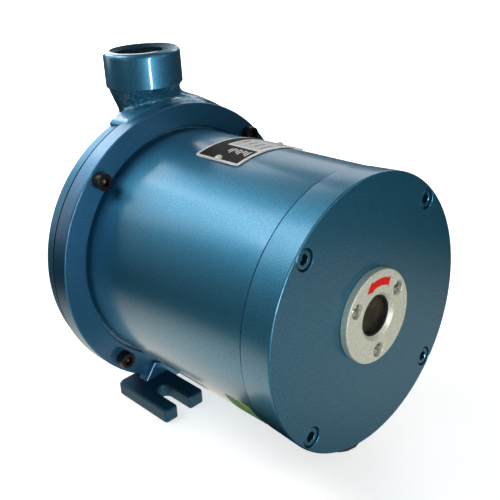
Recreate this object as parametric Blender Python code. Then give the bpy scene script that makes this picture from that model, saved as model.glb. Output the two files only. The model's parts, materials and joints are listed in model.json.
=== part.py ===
"""Canned-motor circulator pump: the pump head, the motor and all that turns inside them.

Units are metres, +Z is up. The pump is modelled in its own frame: the shaft lies along Y, the
rear cover's face is at y = 0, the pump casing lies towards +Y and x = z = 0 on the shaft. The
empty pump_frame carries that frame, and stands it on its feet at z = 0 with the whole pump
centred over the origin.
"""

import math

import bmesh
import bpy
from mathutils import Matrix, Vector

MM = 0.001
BIG_ROUND = 32
ROUND = 20
SMALL_ROUND = 16
SCREW_ROUND = 12
QUARTERS = (45, 135, 225, 315)

# Clearances
SEAT = 0.3 * MM
RUNNING = 0.3 * MM
EYE_RUNNING = 0.4 * MM
AIR_GAP = 0.6 * MM

# The motor, along the shaft from the rear cover's face and across it
COVER_DEPTH = 20 * MM
REAR_BEARING_SETBACK = 8 * MM
REAR_HEADROOM = 28 * MM
STACK_LENGTH = 68 * MM
FRONT_HEADROOM = 12 * MM
FLANGE_SETBACK = 11.75 * MM
HOUSING_RADIUS = 73.5 * MM
HOUSING_WALL = 10.5 * MM
COVER_OVERHANG = 1.5 * MM
COVER_RIM_OVERHANG = 0.4 * MM
EDGE_BREAK = 0.8 * MM

REAR_BEARING_FACE = COVER_DEPTH + REAR_BEARING_SETBACK
STACK_START = REAR_BEARING_FACE + REAR_HEADROOM
STACK_END = STACK_START + STACK_LENGTH
FRONT_BEARING_FACE = STACK_END + FRONT_HEADROOM
FLANGE_FACE = FRONT_BEARING_FACE + FLANGE_SETBACK
COVER_RADIUS = HOUSING_RADIUS + COVER_OVERHANG
COVER_RIM_RADIUS = HOUSING_RADIUS + COVER_RIM_OVERHANG
HOUSING_BORE = HOUSING_RADIUS - HOUSING_WALL
HOUSING_START = COVER_DEPTH + SEAT

# Impeller and volute
IMPELLER_RADIUS = 58 * MM
IMPELLER_SETBACK = 5.65 * MM
IMPELLER_HUB_REACH = 2.45 * MM
IMPELLER_HUB_RISE = 14 * MM
IMPELLER_HUB_WALL = 4.7 * MM
PLATE_DEPTH = 3 * MM
SHROUD_THINNING = 0.2 * MM
SHROUD_CLEARANCE = 1.7 * MM
VANE_HEIGHT = 8 * MM
VANE_COUNT = 7
VANE_THICKNESS = 2.2 * MM
VANE_ANGLE = 27
VANE_STEPS = 7
EYE_RADIUS = 19.6 * MM
EYE_WALL = 2.6 * MM
EYE_LENGTH = 6.3 * MM
WEAR_RING_WALL = 3.4 * MM
WEAR_RING_LENGTH = 6.7 * MM
CHAMBER_MARGIN = 6 * MM
VOLUTE_GAP = 8 * MM
VOLUTE_GROWTH = 21 * MM
VOLUTE_WALL = 7 * MM
VOLUTE_DEPTH = 14.5 * MM
VOLUTE_CORNER = 5 * MM
TONGUE_ANGLE = 112
THROAT_ANGLE = 90

VOLUTE_START_RADIUS = IMPELLER_RADIUS + VOLUTE_GAP
VOLUTE_END_RADIUS = VOLUTE_START_RADIUS + VOLUTE_GROWTH
CHAMBER_RADIUS = VOLUTE_START_RADIUS + CHAMBER_MARGIN
EYE_OUTER = EYE_RADIUS + EYE_WALL
WEAR_RING_INNER = EYE_OUTER + EYE_RUNNING
WEAR_RING_OUTER = WEAR_RING_INNER + WEAR_RING_WALL
WEAR_SEAT = WEAR_RING_OUTER + SEAT

# Both flanges, whose screws clear the housing and the casing's chamber
CHAMBER_LEDGE = 1.5 * MM
FLANGE_LEDGE = 16.1 * MM
FLANGE_DEPTH = 11.6 * MM
FLANGE_GROOVE_WIDTH = 1.7 * MM
FLANGE_GROOVE_DEPTH = 6.25 * MM
GASKET_DEPTH = 0.6 * MM
CASING_STEP = 0.2 * MM
CASING_RIM_DEPTH = 10.9 * MM
CASING_RIM_TAPER = 3.1 * MM

FLANGE_RADIUS = max(HOUSING_RADIUS, CHAMBER_RADIUS + CHAMBER_LEDGE) + FLANGE_LEDGE
FLANGE_BACK = FLANGE_FACE + FLANGE_DEPTH
GROOVE_FLOOR = FLANGE_FACE + FLANGE_GROOVE_DEPTH
HOUSING_END = GROOVE_FLOOR - SEAT
GASKET_FACE = FLANGE_BACK + SEAT
CASING_FACE = GASKET_FACE + GASKET_DEPTH + SEAT
CASING_RADIUS = FLANGE_RADIUS - CASING_STEP
RIM_BACK = CASING_FACE + CASING_RIM_DEPTH

# Ports, both with a G1 thread in a round boss
BOSS_RADIUS = 23.75 * MM
BOSS_LENGTH = 22.5 * MM
BOSS_ROUND = 1.4 * MM
THREAD_RADIUS = 16.6 * MM
THREAD_LENGTH = 19 * MM
MOUTH_RADIUS = 18.75 * MM
PASSAGE_RADIUS = 14.5 * MM
OUTLET_SETBACK = 1.3 * MM
OUTLET_NECK = 9.9 * MM
INLET_NECK = 14 * MM
OVERCUT = 2 * MM

IMPELLER_BACK = FLANGE_BACK + IMPELLER_SETBACK
IMPELLER_HUB_START = FLANGE_BACK - IMPELLER_HUB_REACH
IMPELLER_HUB_END = IMPELLER_BACK + IMPELLER_HUB_RISE
VOLUTE_FRONT = IMPELLER_BACK + PLATE_DEPTH + VANE_HEIGHT - OVERCUT
VOLUTE_BACK = VOLUTE_FRONT + VOLUTE_DEPTH
SHROUD_FACE = IMPELLER_BACK + 2 * PLATE_DEPTH + VANE_HEIGHT - SHROUD_THINNING
THROAT_WALL = SHROUD_FACE + SHROUD_CLEARANCE
WEAR_FLOOR = THROAT_WALL + WEAR_RING_LENGTH + 2 * SEAT
PORT_FACE = VOLUTE_BACK + VOLUTE_WALL + INLET_NECK + BOSS_LENGTH
OUTLET_AXIS = VOLUTE_FRONT + OUTLET_SETBACK
OUTLET_HEIGHT = FLANGE_RADIUS + OUTLET_NECK + BOSS_LENGTH

# M6 socket head screws, in the flange and in the cover
M6_RADIUS = 3 * MM
M6_HEAD_RADIUS = 5 * MM
M6_HEAD = 6 * MM
M6_SOCKET = 2.5 * MM
M6_SOCKET_DEPTH = 3.2 * MM
M6_EDGE = 0.6 * MM
M6_CLEARANCE = 0.3 * MM
FLANGE_SCREW_INSET = 7.1 * MM
FLANGE_SCREW_LENGTH = 22 * MM
COVER_SCREW_INSET = 5.15 * MM
COVER_SCREW_LENGTH = 24 * MM
COUNTERBORE_RADIUS = 5.6 * MM
COUNTERBORE_DEPTH = 7 * MM
COVER_SCREW_RECESS = 0.7 * MM

FLANGE_SCREW_CIRCLE = FLANGE_RADIUS - FLANGE_SCREW_INSET
COVER_SCREW_CIRCLE = HOUSING_RADIUS - COVER_SCREW_INSET

# Feet of the adapter flange, and the rubber foot under the rear end
FLANGE_LIFT = 0.4 * MM
FOOT_THICKNESS = 9 * MM
FOOT_INNER = 27.5 * MM
FOOT_OUTER = 57.5 * MM
FOOT_REACH = 37.45 * MM
FOOT_CORNER = 2.2 * MM
SLOT_CENTRE = 43.3 * MM
SLOT_RADIUS = 4.7 * MM
SLOT_LENGTH = 23.7 * MM
WEB_DEPTH = 3 * MM
WEB_INSET = 9.8 * MM
WEB_TOP_HALF = 37.1 * MM
WEB_FOOT_HALF = 46.6 * MM
REAR_FOOT_RADIUS = 13 * MM
REAR_FOOT_SETBACK = 4.5 * MM
REAR_FOOT_STUD_LENGTH = 20 * MM
REAR_FOOT_STUD_DEPTH = 7 * MM

AXIS_HEIGHT = FLANGE_RADIUS + FLANGE_LIFT
FOOT_FRONT = FLANGE_FACE - FOOT_REACH
SLOT_REACH = FOOT_FRONT + SLOT_LENGTH
WEB_INNER_RADIUS = FLANGE_RADIUS - WEB_INSET
REAR_FOOT_PLACE = COVER_DEPTH + REAR_FOOT_SETBACK

# Shaft, bearings and motor
SHAFT_RADIUS = 8 * MM
SHAFT_REAR = 13 * MM
SHAFT_THREAD_RADIUS = 6 * MM
SHAFT_THREAD_LENGTH = 14.5 * MM
SLEEVE_RADIUS = 9.75 * MM
BUSH_RADIUS = 14 * MM
BUSH_LENGTH = 15.4 * MM
SPIGOT_LENGTH = 10 * MM
BEARING_FLANGE_DEPTH = 5.7 * MM
CAN_RADIUS = 30 * MM
CAN_WALL = 0.7 * MM
ROTOR_CAN_WALL = 0.5 * MM
END_RING_LENGTH = 6.8 * MM
END_RING_STEP = 1.6 * MM
END_RING_EDGE = 2 * MM
WINDING_LENGTH = 18 * MM
WINDING_FROM_CAN = 10 * MM
WINDING_FROM_HOUSING = 3 * MM
WINDING_ROUND = 5 * MM
THRUST_WASHER_RADIUS = 15 * MM
THRUST_WASHER_DEPTH = 4 * MM
RING_SECTION = 1.1 * MM
SEAL_WIDTH = 2 * MM
CAN_SEAL_SETBACK = 4 * MM
BEARING_FLANGE_LEDGE = 6 * MM
BEARING_SEAT_INSET = 13 * MM
CLAMP_WIDTH = 5 * MM
CLAMP_DEPTH = 3.4 * MM
REGISTER_WALL = 5.7 * MM

SHAFT_SEAT = SHAFT_RADIUS + SEAT
BUSH_SEAT = BUSH_RADIUS + SEAT
WINDING_INNER = CAN_RADIUS + WINDING_FROM_CAN
WINDING_OUTER = HOUSING_BORE - WINDING_FROM_HOUSING
BEARING_FLANGE_RADIUS = CAN_RADIUS + BEARING_FLANGE_LEDGE
BEARING_SEAT = HOUSING_BORE - BEARING_SEAT_INSET
SPIGOT_RADIUS = CAN_RADIUS - SEAT
SEAL_FLOOR = SPIGOT_RADIUS - RING_SECTION - SEAT
REAR_FLANGE_END = REAR_BEARING_FACE + SEAT + BEARING_FLANGE_DEPTH
REAR_SPIGOT_END = REAR_FLANGE_END + SPIGOT_LENGTH
FRONT_FLANGE_START = GROOVE_FLOOR - SEAT - CLAMP_DEPTH

# Key, washer and nut at the shaft's front end
KEY_WIDTH = 5 * MM
KEY_LENGTH = 14 * MM
KEY_FLOOR = 5.5 * MM
KEY_TOP = 10.2 * MM
KEY_START = IMPELLER_BACK - 5 * MM
WASHER_RADIUS = 12.5 * MM
WASHER_DEPTH = 2 * MM
NUT_FLATS = 9 * MM
NUT_LENGTH = 9 * MM

# Sight flange with its glass in the rear cover
SIGHT_RADIUS = 25.4 * MM
SIGHT_DEPTH = 4 * MM
SIGHT_OPENING = 11.25 * MM
SIGHT_CHAMFER = 1.6 * MM
GLASS_RADIUS = 15 * MM
GLASS_DEPTH = 5 * MM
GLASS_SEAL_DEPTH = 1.2 * MM
SIGHT_SCREW_CIRCLE = 19.5 * MM
SIGHT_SCREW_ANGLES = (30, 150, 270)
M4_RADIUS = 2 * MM
M4_HEAD_RADIUS = 3.5 * MM
M4_HEAD = 2.4 * MM
M4_LENGTH = 12 * MM
M4_SLOT = 1.1 * MM
M4_RECESS_RADIUS = 3.9 * MM

# The rear cover's inside, with its spigot in the housing and the spigot's sealing ring
COVER_BORE = 11 * MM
COVER_HOLLOW = 2 * MM
COVER_HUB_LEDGE = 2 * MM
COVER_SPIGOT_LENGTH = 6 * MM
COVER_RING_SECTION = 1.8 * MM
COVER_RING_WIDTH = 2.4 * MM
COVER_RING_SETBACK = 2.2 * MM

# Nameplate, bent round the top of the housing
PLATE_THICKNESS = 0.6 * MM
PLATE_START = 72.4 * MM
PLATE_WIDTH = 34.4 * MM
PLATE_FIRST_ANGLE = 64
PLATE_LAST_ANGLE = 106
PLATE_CORNER = 2 * MM
RIVET_INSET_ANGLE = 2
RIVET_HEAD_RADIUS = 2.2 * MM
RIVET_HEAD = 1.3 * MM
RIVET_RADIUS = 1.2 * MM
RIVET_LENGTH = 4 * MM

# Terminal box on the right-hand side
BOX_LENGTH = 62 * MM
BOX_HEIGHT = 54 * MM
BOX_PLACE = Vector((0, 76 * MM, -6 * MM))
BOX_REACH = 29.5 * MM
BOX_WALL = 3.6 * MM
BOX_FLOOR_WALL = 5.5 * MM
BOX_CORNER = 7 * MM
BOX_SMALL_CORNER = 1.5 * MM
LID_DEPTH = 4 * MM
LID_EDGE = 1 * MM
BOX_GASKET_DEPTH = 1.2 * MM
BOX_SCREW_INSET = 6.2 * MM
BOX_SCREW_REACH = 10 * MM
BOX_SCREW_HOLE = 14 * MM
CABLE_HOLE_RADIUS = 7 * MM
BLOCK_SIZE = Vector((13 * MM, 30 * MM, 14 * MM))
BLOCK_RISE = 8.5 * MM

BOX_FACE = HOUSING_RADIUS + BOX_REACH
BOX_FLOOR = HOUSING_RADIUS + BOX_FLOOR_WALL

# The cable gland under the terminal box, along its own axis from the box's side
GLAND_THREAD_RADIUS = 8 * MM
GLAND_FLATS = 11 * MM
GLAND_TAIL = 2 * MM
GLAND_HEX_END = 6 * MM
GLAND_BODY_END = 12 * MM
GLAND_WALL = 2.6 * MM
GLAND_MOUTH_RADIUS = 5 * MM
GLAND_NUT_END = 20 * MM
GLAND_NUT_DOME = 6 * MM
GLAND_NUT_SHOULDER = 5.4 * MM
GLAND_NUT_STEP = 1 * MM
GLAND_NUT_HOLLOW = 7.4 * MM
GLAND_LIP = 2 * MM
GLAND_INSERT_WALL = 1.6 * MM
GLAND_INSERT_RECESS = 2.6 * MM

GLAND_PLACE_X = (BOX_FLOOR + BOX_FACE) / 2

# Turns that point a piece made along +Y upwards, downwards, to the left and to the right
UPRIGHT = (math.radians(90), 0, 0)
DOWNWARD = (math.radians(-90), 0, 0)
TO_LEFT = (0, 0, math.radians(90))
TO_RIGHT = (0, 0, math.radians(-90))

# Colours of the finishes: base colour, roughness, metallic
FINISHES = {
    "blue_enamel": ((0.045, 0.19, 0.34), 0.28, 0.35),
    "black_oxide": ((0.02, 0.02, 0.022), 0.4, 0.7),
    "bare_aluminium": ((0.72, 0.73, 0.74), 0.35, 1.0),
    "stainless": ((0.62, 0.62, 0.63), 0.3, 1.0),
    "steel_lamination": ((0.3, 0.31, 0.33), 0.5, 0.9),
    "carbon": ((0.05, 0.05, 0.055), 0.45, 0.0),
    "rubber": ((0.02, 0.02, 0.02), 0.7, 0.0),
    "paper": ((0.45, 0.36, 0.2), 0.85, 0.0),
    "copper_enamel": ((0.45, 0.17, 0.06), 0.4, 0.3),
    "bronze": ((0.55, 0.36, 0.16), 0.4, 0.9),
    "glass": ((0.35, 0.28, 0.2), 0.06, 0.0),
    "nameplate": ((0.8, 0.8, 0.78), 0.4, 0.4),
    "black_plastic": ((0.03, 0.03, 0.035), 0.5, 0.0),
    "cream_plastic": ((0.7, 0.66, 0.55), 0.5, 0.0),
}


def clear_scene():
    for item in list(bpy.data.objects):
        bpy.data.objects.remove(item)


def finish(name):
    """Return the material of that name, made on its first use."""
    found = bpy.data.materials.get(name)
    if found:
        return found
    colour, roughness, metallic = FINISHES[name]
    material = bpy.data.materials.new(name)
    material.use_nodes = True
    shader = material.node_tree.nodes["Principled BSDF"]
    shader.inputs["Base Color"].default_value = (*colour, 1.0)
    shader.inputs["Roughness"].default_value = roughness
    shader.inputs["Metallic"].default_value = metallic
    return material


def empty(name, place, parent=None):
    frame = bpy.data.objects.new(name, None)
    frame.location = place
    frame.parent = parent
    bpy.context.scene.collection.objects.link(frame)
    return frame


def piece(name, shape, finish_name, parent, place=(0, 0, 0), turn=(0, 0, 0)):
    """Make an object of a bmesh, or of a mesh that other pieces share."""
    mesh = shape
    if isinstance(shape, bmesh.types.BMesh):
        mesh = bpy.data.meshes.new(name)
        shape.to_mesh(mesh)
        shape.free()
        mesh.shade_smooth()
        mesh.set_sharp_from_angle(angle=math.radians(32))
        mesh.materials.append(finish(finish_name))
    made = bpy.data.objects.new(name, mesh)
    made.location = place
    made.rotation_euler = turn
    made.parent = parent
    bpy.context.scene.collection.objects.link(made)
    return made


def guide(name, shape, parent, place=(0, 0, 0), turn=(0, 0, 0)):
    """Make an object that only shapes others."""
    made = piece(name, shape, "blue_enamel", parent, place, turn)
    made.hide_render = True
    made.display_type = "WIRE"
    return made


def combine(target, tools, operation):
    """Join guides to a piece, or cut them away, all in one step."""
    group = bpy.data.collections.new(f"{target.name}_{operation.lower()}")
    for tool in tools:
        group.objects.link(tool)
    step = target.modifiers.new(group.name, "BOOLEAN")
    step.operation = operation
    step.operand_type = "COLLECTION"
    step.collection = group
    step.solver = "EXACT"


def join(target, *tools):
    combine(target, tools, "UNION")


def cut(target, *tools):
    combine(target, tools, "DIFFERENCE")


def settled(made):
    """Return the mesh that an object has after its modifiers, and remove the object."""
    bpy.context.view_layer.update()
    graph = bpy.context.evaluated_depsgraph_get()
    mesh = bpy.data.meshes.new_from_object(made.evaluated_get(graph))
    bpy.data.objects.remove(made)
    return mesh


def on_circle(radius, angle, y=0.0):
    """Return the point at an angle from +X towards +Z, seen from the rear."""
    turn = math.radians(angle)
    return Vector((radius * math.cos(turn), y, radius * math.sin(turn)))


def arc(centre, radius, first, last, steps=4):
    """Return (radius, length) points on a quarter or other arc of a profile."""
    points = []
    for index in range(steps + 1):
        turn = math.radians(first + (last - first) * index / steps)
        points.append((centre[0] + radius * math.cos(turn), centre[1] + radius * math.sin(turn)))
    return points


def turned(profile, steps=ROUND):
    """Spin a closed (radius, y) profile about the shaft."""
    shape = bmesh.new()
    corners = [shape.verts.new((radius, y, 0)) for radius, y in profile]
    edges = []
    for first, second in zip(corners, corners[1:] + corners[:1]):
        on_axis = first.co.x < 1e-9 and second.co.x < 1e-9
        if not on_axis:
            edges.append(shape.edges.new((first, second)))
    bmesh.ops.spin(shape, geom=corners + edges, cent=(0, 0, 0), axis=(0, 1, 0),
                   angle=math.tau, steps=steps, use_merge=True)
    bmesh.ops.remove_doubles(shape, verts=shape.verts, dist=1e-7)
    bmesh.ops.recalc_face_normals(shape, faces=shape.faces)
    return shape


def lofted(rings, closed=False):
    """Join rings of points in order, and close the ends unless the last meets the first."""
    shape = bmesh.new()
    loops = [[shape.verts.new(point) for point in ring] for ring in rings]
    following = loops[1:] + loops[:1] if closed else loops[1:]
    for near, far in zip(loops, following):
        for index in range(len(near)):
            after = (index + 1) % len(near)
            shape.faces.new((near[index], near[after], far[after], far[index]))
    if not closed:
        shape.faces.new(loops[0])
        shape.faces.new(loops[-1])
    bmesh.ops.recalc_face_normals(shape, faces=shape.faces)
    return shape


def extruded(outline, reach):
    """Push a flat outline of points along a vector."""
    shape = bmesh.new()
    face = shape.faces.new([shape.verts.new(point) for point in outline])
    pushed = bmesh.ops.extrude_face_region(shape, geom=[face])
    moved = [item for item in pushed["geom"] if isinstance(item, bmesh.types.BMVert)]
    bmesh.ops.translate(shape, verts=moved, vec=reach)
    bmesh.ops.recalc_face_normals(shape, faces=shape.faces)
    return shape


def block(low, high):
    """Return a box between two corners."""
    low = Vector(low)
    high = Vector(high)
    shape = bmesh.new()
    size = high - low
    matrix = Matrix.Translation((low + high) / 2) @ Matrix.Diagonal((*size, 1))
    bmesh.ops.create_cube(shape, size=1, matrix=matrix)
    return shape


def bevel_edges(shape, width, keep):
    """Break the edges for which keep(edge) is true."""
    edges = [edge for edge in shape.edges if keep(edge)]
    bmesh.ops.bevel(shape, geom=edges, offset=width, segments=1, affect="EDGES")
    return shape


def rod(radius, start, end, steps=SMALL_ROUND):
    """Return a plain cylinder along the shaft."""
    return turned([(0, start), (radius, start), (radius, end), (0, end)], steps)


def tube(inner, outer, start, end, steps=ROUND):
    """Return a plain ring along the shaft."""
    return turned([(inner, start), (outer, start), (outer, end), (inner, end)], steps)


def hexagon_ring(flats, y, steps=SCREW_ROUND):
    """Return points round a hexagon, as many as a round ring has."""
    points = []
    for index in range(steps):
        turn = math.tau * index / steps
        aside = (turn + math.pi / 6) % (math.pi / 3) - math.pi / 6
        reach = flats / math.cos(aside)
        points.append(Vector((reach * math.cos(turn), y, reach * math.sin(turn))))
    return points


def round_ring(radius, y, steps=SCREW_ROUND):
    return [on_circle(radius, 360 * index / steps, y) for index in range(steps)]


def socket_screw(length):
    """Return a socket head screw with its head's face at y = 0 and its shank towards +Y."""
    end = M6_HEAD + length
    rings = [
        hexagon_ring(M6_SOCKET, M6_SOCKET_DEPTH),
        hexagon_ring(M6_SOCKET, 0),
        round_ring(M6_HEAD_RADIUS - M6_EDGE, 0),
        round_ring(M6_HEAD_RADIUS, M6_EDGE),
        round_ring(M6_HEAD_RADIUS, M6_HEAD),
        round_ring(M6_RADIUS, M6_HEAD),
        round_ring(M6_RADIUS, end),
    ]
    return lofted(rings)


def slotted_screw(name, parent, length):
    """Return the mesh of a slotted cheese head screw, with its head's face at y = 0."""
    body = turned([
        (0, 0), (M4_HEAD_RADIUS - 0.3 * MM, 0), (M4_HEAD_RADIUS, 0.3 * MM),
        (M4_HEAD_RADIUS, M4_HEAD), (M4_RADIUS, M4_HEAD), (M4_RADIUS, M4_HEAD + length),
        (0, M4_HEAD + length),
    ], SCREW_ROUND)
    made = piece(name, body, "stainless", parent)
    slot = guide(name + "_slot", block(
        (-2 * M4_HEAD_RADIUS, -OVERCUT, -M4_SLOT / 2),
        (2 * M4_HEAD_RADIUS, M4_HEAD / 2, M4_SLOT / 2)), parent)
    cut(made, slot)
    return settled(made)


def spiral_share(angle):
    """Return how far round the volute an angle lies: 0 at the tongue, 1 at the throat."""
    past_throat = (angle - THROAT_ANGLE) % 360
    step_back = TONGUE_ANGLE - THROAT_ANGLE
    if past_throat < step_back:
        return 1 - past_throat / step_back
    return (past_throat - step_back) / (360 - step_back)


def around(profile_at, steps=BIG_ROUND):
    """Return a solid whose (radius, y) profile changes with the angle; its ends are on the shaft."""
    shape = bmesh.new()
    profiles = [profile_at(360 * index / steps) for index in range(steps)]
    first = shape.verts.new((0, profiles[0][0][1], 0))
    last = shape.verts.new((0, profiles[0][-1][1], 0))
    columns = []
    for index, profile in enumerate(profiles):
        angle = 360 * index / steps
        columns.append([shape.verts.new(on_circle(radius, angle, y)) for radius, y in profile[1:-1]])
    for column, after in zip(columns, columns[1:] + columns[:1]):
        shape.faces.new((first, column[0], after[0]))
        shape.faces.new((last, after[-1], column[-1]))
        for row in range(len(column) - 1):
            shape.faces.new((column[row], column[row + 1], after[row + 1], after[row]))
    bmesh.ops.recalc_face_normals(shape, faces=shape.faces)
    return shape


def casing_outline(angle):
    """Return the outside of the casing at an angle: inlet boss, volute back and flanged rim."""
    reach = VOLUTE_START_RADIUS + (VOLUTE_END_RADIUS - VOLUTE_START_RADIUS) * spiral_share(angle)
    outer = reach + VOLUTE_WALL
    back = VOLUTE_BACK + VOLUTE_WALL
    rim_back = CASING_RADIUS - CASING_RIM_TAPER
    boss_end = PORT_FACE - BOSS_LENGTH + BOSS_ROUND
    return [
        (0, PORT_FACE),
        (BOSS_RADIUS - BOSS_ROUND, PORT_FACE),
        (BOSS_RADIUS, PORT_FACE - BOSS_ROUND),
        (BOSS_RADIUS, boss_end),
        (BOSS_RADIUS - BOSS_ROUND, boss_end - BOSS_ROUND),
        (BOSS_RADIUS - 1 * MM, back + 4 * MM),
        (BOSS_RADIUS + 5 * MM, back),
        (outer - 11 * MM, back - 1 * MM),
        (outer - 3 * MM, back - 6 * MM),
        (outer, back - 12 * MM),
        (outer, VOLUTE_FRONT),
        (max(outer, rim_back - 2 * MM), RIM_BACK + 1.7 * MM),
        (max(outer, rim_back), RIM_BACK),
        (CASING_RADIUS, CASING_FACE),
        (0, CASING_FACE),
    ]


def casing_hollow(angle):
    """Return the inside of the casing at an angle: threaded inlet, eye, volute and chamber."""
    reach = VOLUTE_START_RADIUS + (VOLUTE_END_RADIUS - VOLUTE_START_RADIUS) * spiral_share(angle)
    chamfer = MOUTH_RADIUS - THREAD_RADIUS
    thread_end = PORT_FACE - chamfer - THREAD_LENGTH
    chamber_back = VOLUTE_FRONT - OVERCUT
    return [
        (0, PORT_FACE + OVERCUT),
        (MOUTH_RADIUS + OVERCUT, PORT_FACE + OVERCUT),
        (THREAD_RADIUS, PORT_FACE - chamfer),
        (THREAD_RADIUS, thread_end),
        (PASSAGE_RADIUS, thread_end),
        (EYE_RADIUS, WEAR_FLOOR + 2 * MM),
        (EYE_RADIUS, WEAR_FLOOR),
        (WEAR_SEAT, WEAR_FLOOR),
        (WEAR_SEAT, THROAT_WALL),
        (IMPELLER_RADIUS - 1 * MM, THROAT_WALL),
        (IMPELLER_RADIUS + 2 * MM, VOLUTE_BACK),
        (reach - 0.8 * VOLUTE_CORNER, VOLUTE_BACK),
        (reach, VOLUTE_BACK - VOLUTE_CORNER),
        (reach, VOLUTE_FRONT + 2 * MM),
        (max(reach - 2 * MM, CHAMBER_RADIUS), VOLUTE_FRONT - 0.5 * MM),
        (CHAMBER_RADIUS, chamber_back),
        (CHAMBER_RADIUS, CASING_FACE - OVERCUT),
        (0, CASING_FACE - OVERCUT),
    ]


def oval_ring(height, left, right, front, back, centre=OUTLET_AXIS, steps=ROUND):
    """Return a level ring round the outlet's axis, with its own reach on each side."""
    points = []
    for index in range(steps):
        turn = math.tau * index / steps
        across = math.cos(turn)
        along = math.sin(turn)
        x = across * (right if across > 0 else left)
        y = along * (back if along > 0 else front)
        points.append(Vector((x, centre + y, height)))
    return points


def outlet_neck():
    """Return the cast neck, which leans out to the volute's throat on the right."""
    boss_foot = OUTLET_HEIGHT - BOSS_LENGTH
    clear_of_gasket = OUTLET_AXIS - CASING_FACE - SEAT
    behind = VOLUTE_BACK + VOLUTE_WALL - 3 * MM - OUTLET_AXIS
    throat_reach = VOLUTE_END_RADIUS + VOLUTE_WALL
    return lofted([
        oval_ring(boss_foot + 3 * MM, 20.8 * MM, 20.8 * MM, 20.8 * MM, 20.8 * MM),
        oval_ring(boss_foot - 0.6 * MM, 20.8 * MM, 20.8 * MM, 20.8 * MM, 20.8 * MM),
        oval_ring(boss_foot - 2.5 * MM, 20.2 * MM, 20.8 * MM, 19.6 * MM, behind + 1 * MM),
        oval_ring(boss_foot - 6 * MM, 20.2 * MM, 23.5 * MM, 17 * MM, behind),
        oval_ring(FLANGE_RADIUS + 0.6 * MM, 20.8 * MM, 29 * MM, clear_of_gasket, behind),
        oval_ring(0.925 * throat_reach, 22.5 * MM, 37 * MM, clear_of_gasket, behind),
        oval_ring(0.87 * throat_reach, 26 * MM, 48 * MM, clear_of_gasket, behind),
        oval_ring(0.75 * throat_reach, 28 * MM, 51 * MM, clear_of_gasket, behind),
    ])


def outlet_boss():
    """Return the round boss of the outlet, turned about its own upright axis."""
    foot = OUTLET_HEIGHT - BOSS_LENGTH
    return turned([
        (0, foot), (BOSS_RADIUS - 1.2 * MM, foot), (BOSS_RADIUS, foot + 1.2 * MM),
        (BOSS_RADIUS, OUTLET_HEIGHT - BOSS_ROUND),
        (BOSS_RADIUS - BOSS_ROUND, OUTLET_HEIGHT), (0, OUTLET_HEIGHT),
    ])


def outlet_thread_bore():
    chamfer = MOUTH_RADIUS - THREAD_RADIUS
    end = OUTLET_HEIGHT - chamfer - THREAD_LENGTH
    return turned([
        (0, end), (THREAD_RADIUS, end), (THREAD_RADIUS, OUTLET_HEIGHT - chamfer),
        (MOUTH_RADIUS + OVERCUT, OUTLET_HEIGHT + OVERCUT), (0, OUTLET_HEIGHT + OVERCUT),
    ])


def outlet_passage():
    """Return the way from the thread down into the volute's throat."""
    top = OUTLET_HEIGHT - THREAD_LENGTH
    throat = (VOLUTE_FRONT + VOLUTE_BACK) / 2
    wide = PASSAGE_RADIUS - 1.5 * MM
    narrow = 10.5 * MM
    return lofted([
        oval_ring(top, wide, wide, wide, wide),
        oval_ring(0.95 * VOLUTE_END_RADIUS + 14 * MM, wide, wide, wide, wide),
        oval_ring(0.88 * VOLUTE_END_RADIUS, narrow, narrow, narrow, narrow - 4 * MM, throat + 2 * MM),
        oval_ring(0.84 * VOLUTE_END_RADIUS, narrow, narrow, narrow, narrow - 4 * MM, throat + 2 * MM),
    ])


def make_casing(pump):
    casing = piece("pump_casing", around(casing_outline), "blue_enamel", pump)
    neck = guide("neck_form", outlet_neck(), pump)
    boss = guide("boss_form", outlet_boss(), pump, (0, OUTLET_AXIS, 0), UPRIGHT)
    join(casing, neck, boss)
    hollow = guide("hollow_form", around(casing_hollow), pump)
    bore = guide("outlet_bore", outlet_thread_bore(), pump, (0, OUTLET_AXIS, 0), UPRIGHT)
    passage = guide("passage_form", outlet_passage(), pump)
    depth = FLANGE_FACE + FLANGE_SCREW_LENGTH + 1.2 * MM
    threads = holes("casing_thread", pump, FLANGE_SCREW_CIRCLE, M6_RADIUS + M6_CLEARANCE,
                    CASING_FACE - OVERCUT, depth)
    cut(casing, hollow, bore, passage, *threads)
    ring = tube(WEAR_RING_INNER, WEAR_RING_OUTER, THROAT_WALL + SEAT,
                THROAT_WALL + SEAT + WEAR_RING_LENGTH)
    piece("casing_wear_ring", ring, "bronze", pump)
    sheet = tube(CHAMBER_RADIUS, FLANGE_RADIUS - 0.1 * MM, GASKET_FACE,
                 GASKET_FACE + GASKET_DEPTH, BIG_ROUND)
    gasket = piece("casing_gasket", sheet, "paper", pump)
    cut(gasket, *holes("gasket_hole", pump, FLANGE_SCREW_CIRCLE, M6_RADIUS + M6_CLEARANCE,
                       GASKET_FACE - OVERCUT, CASING_FACE + OVERCUT))


def holes(name, parent, circle, radius, start, end, angles=QUARTERS):
    """Return guides for holes along the shaft's direction, at angles round a circle."""
    return [guide(f"{name}_{number}", rod(radius, start, end, SCREW_ROUND), parent,
                  on_circle(circle, angle)) for number, angle in enumerate(angles, 1)]


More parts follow.
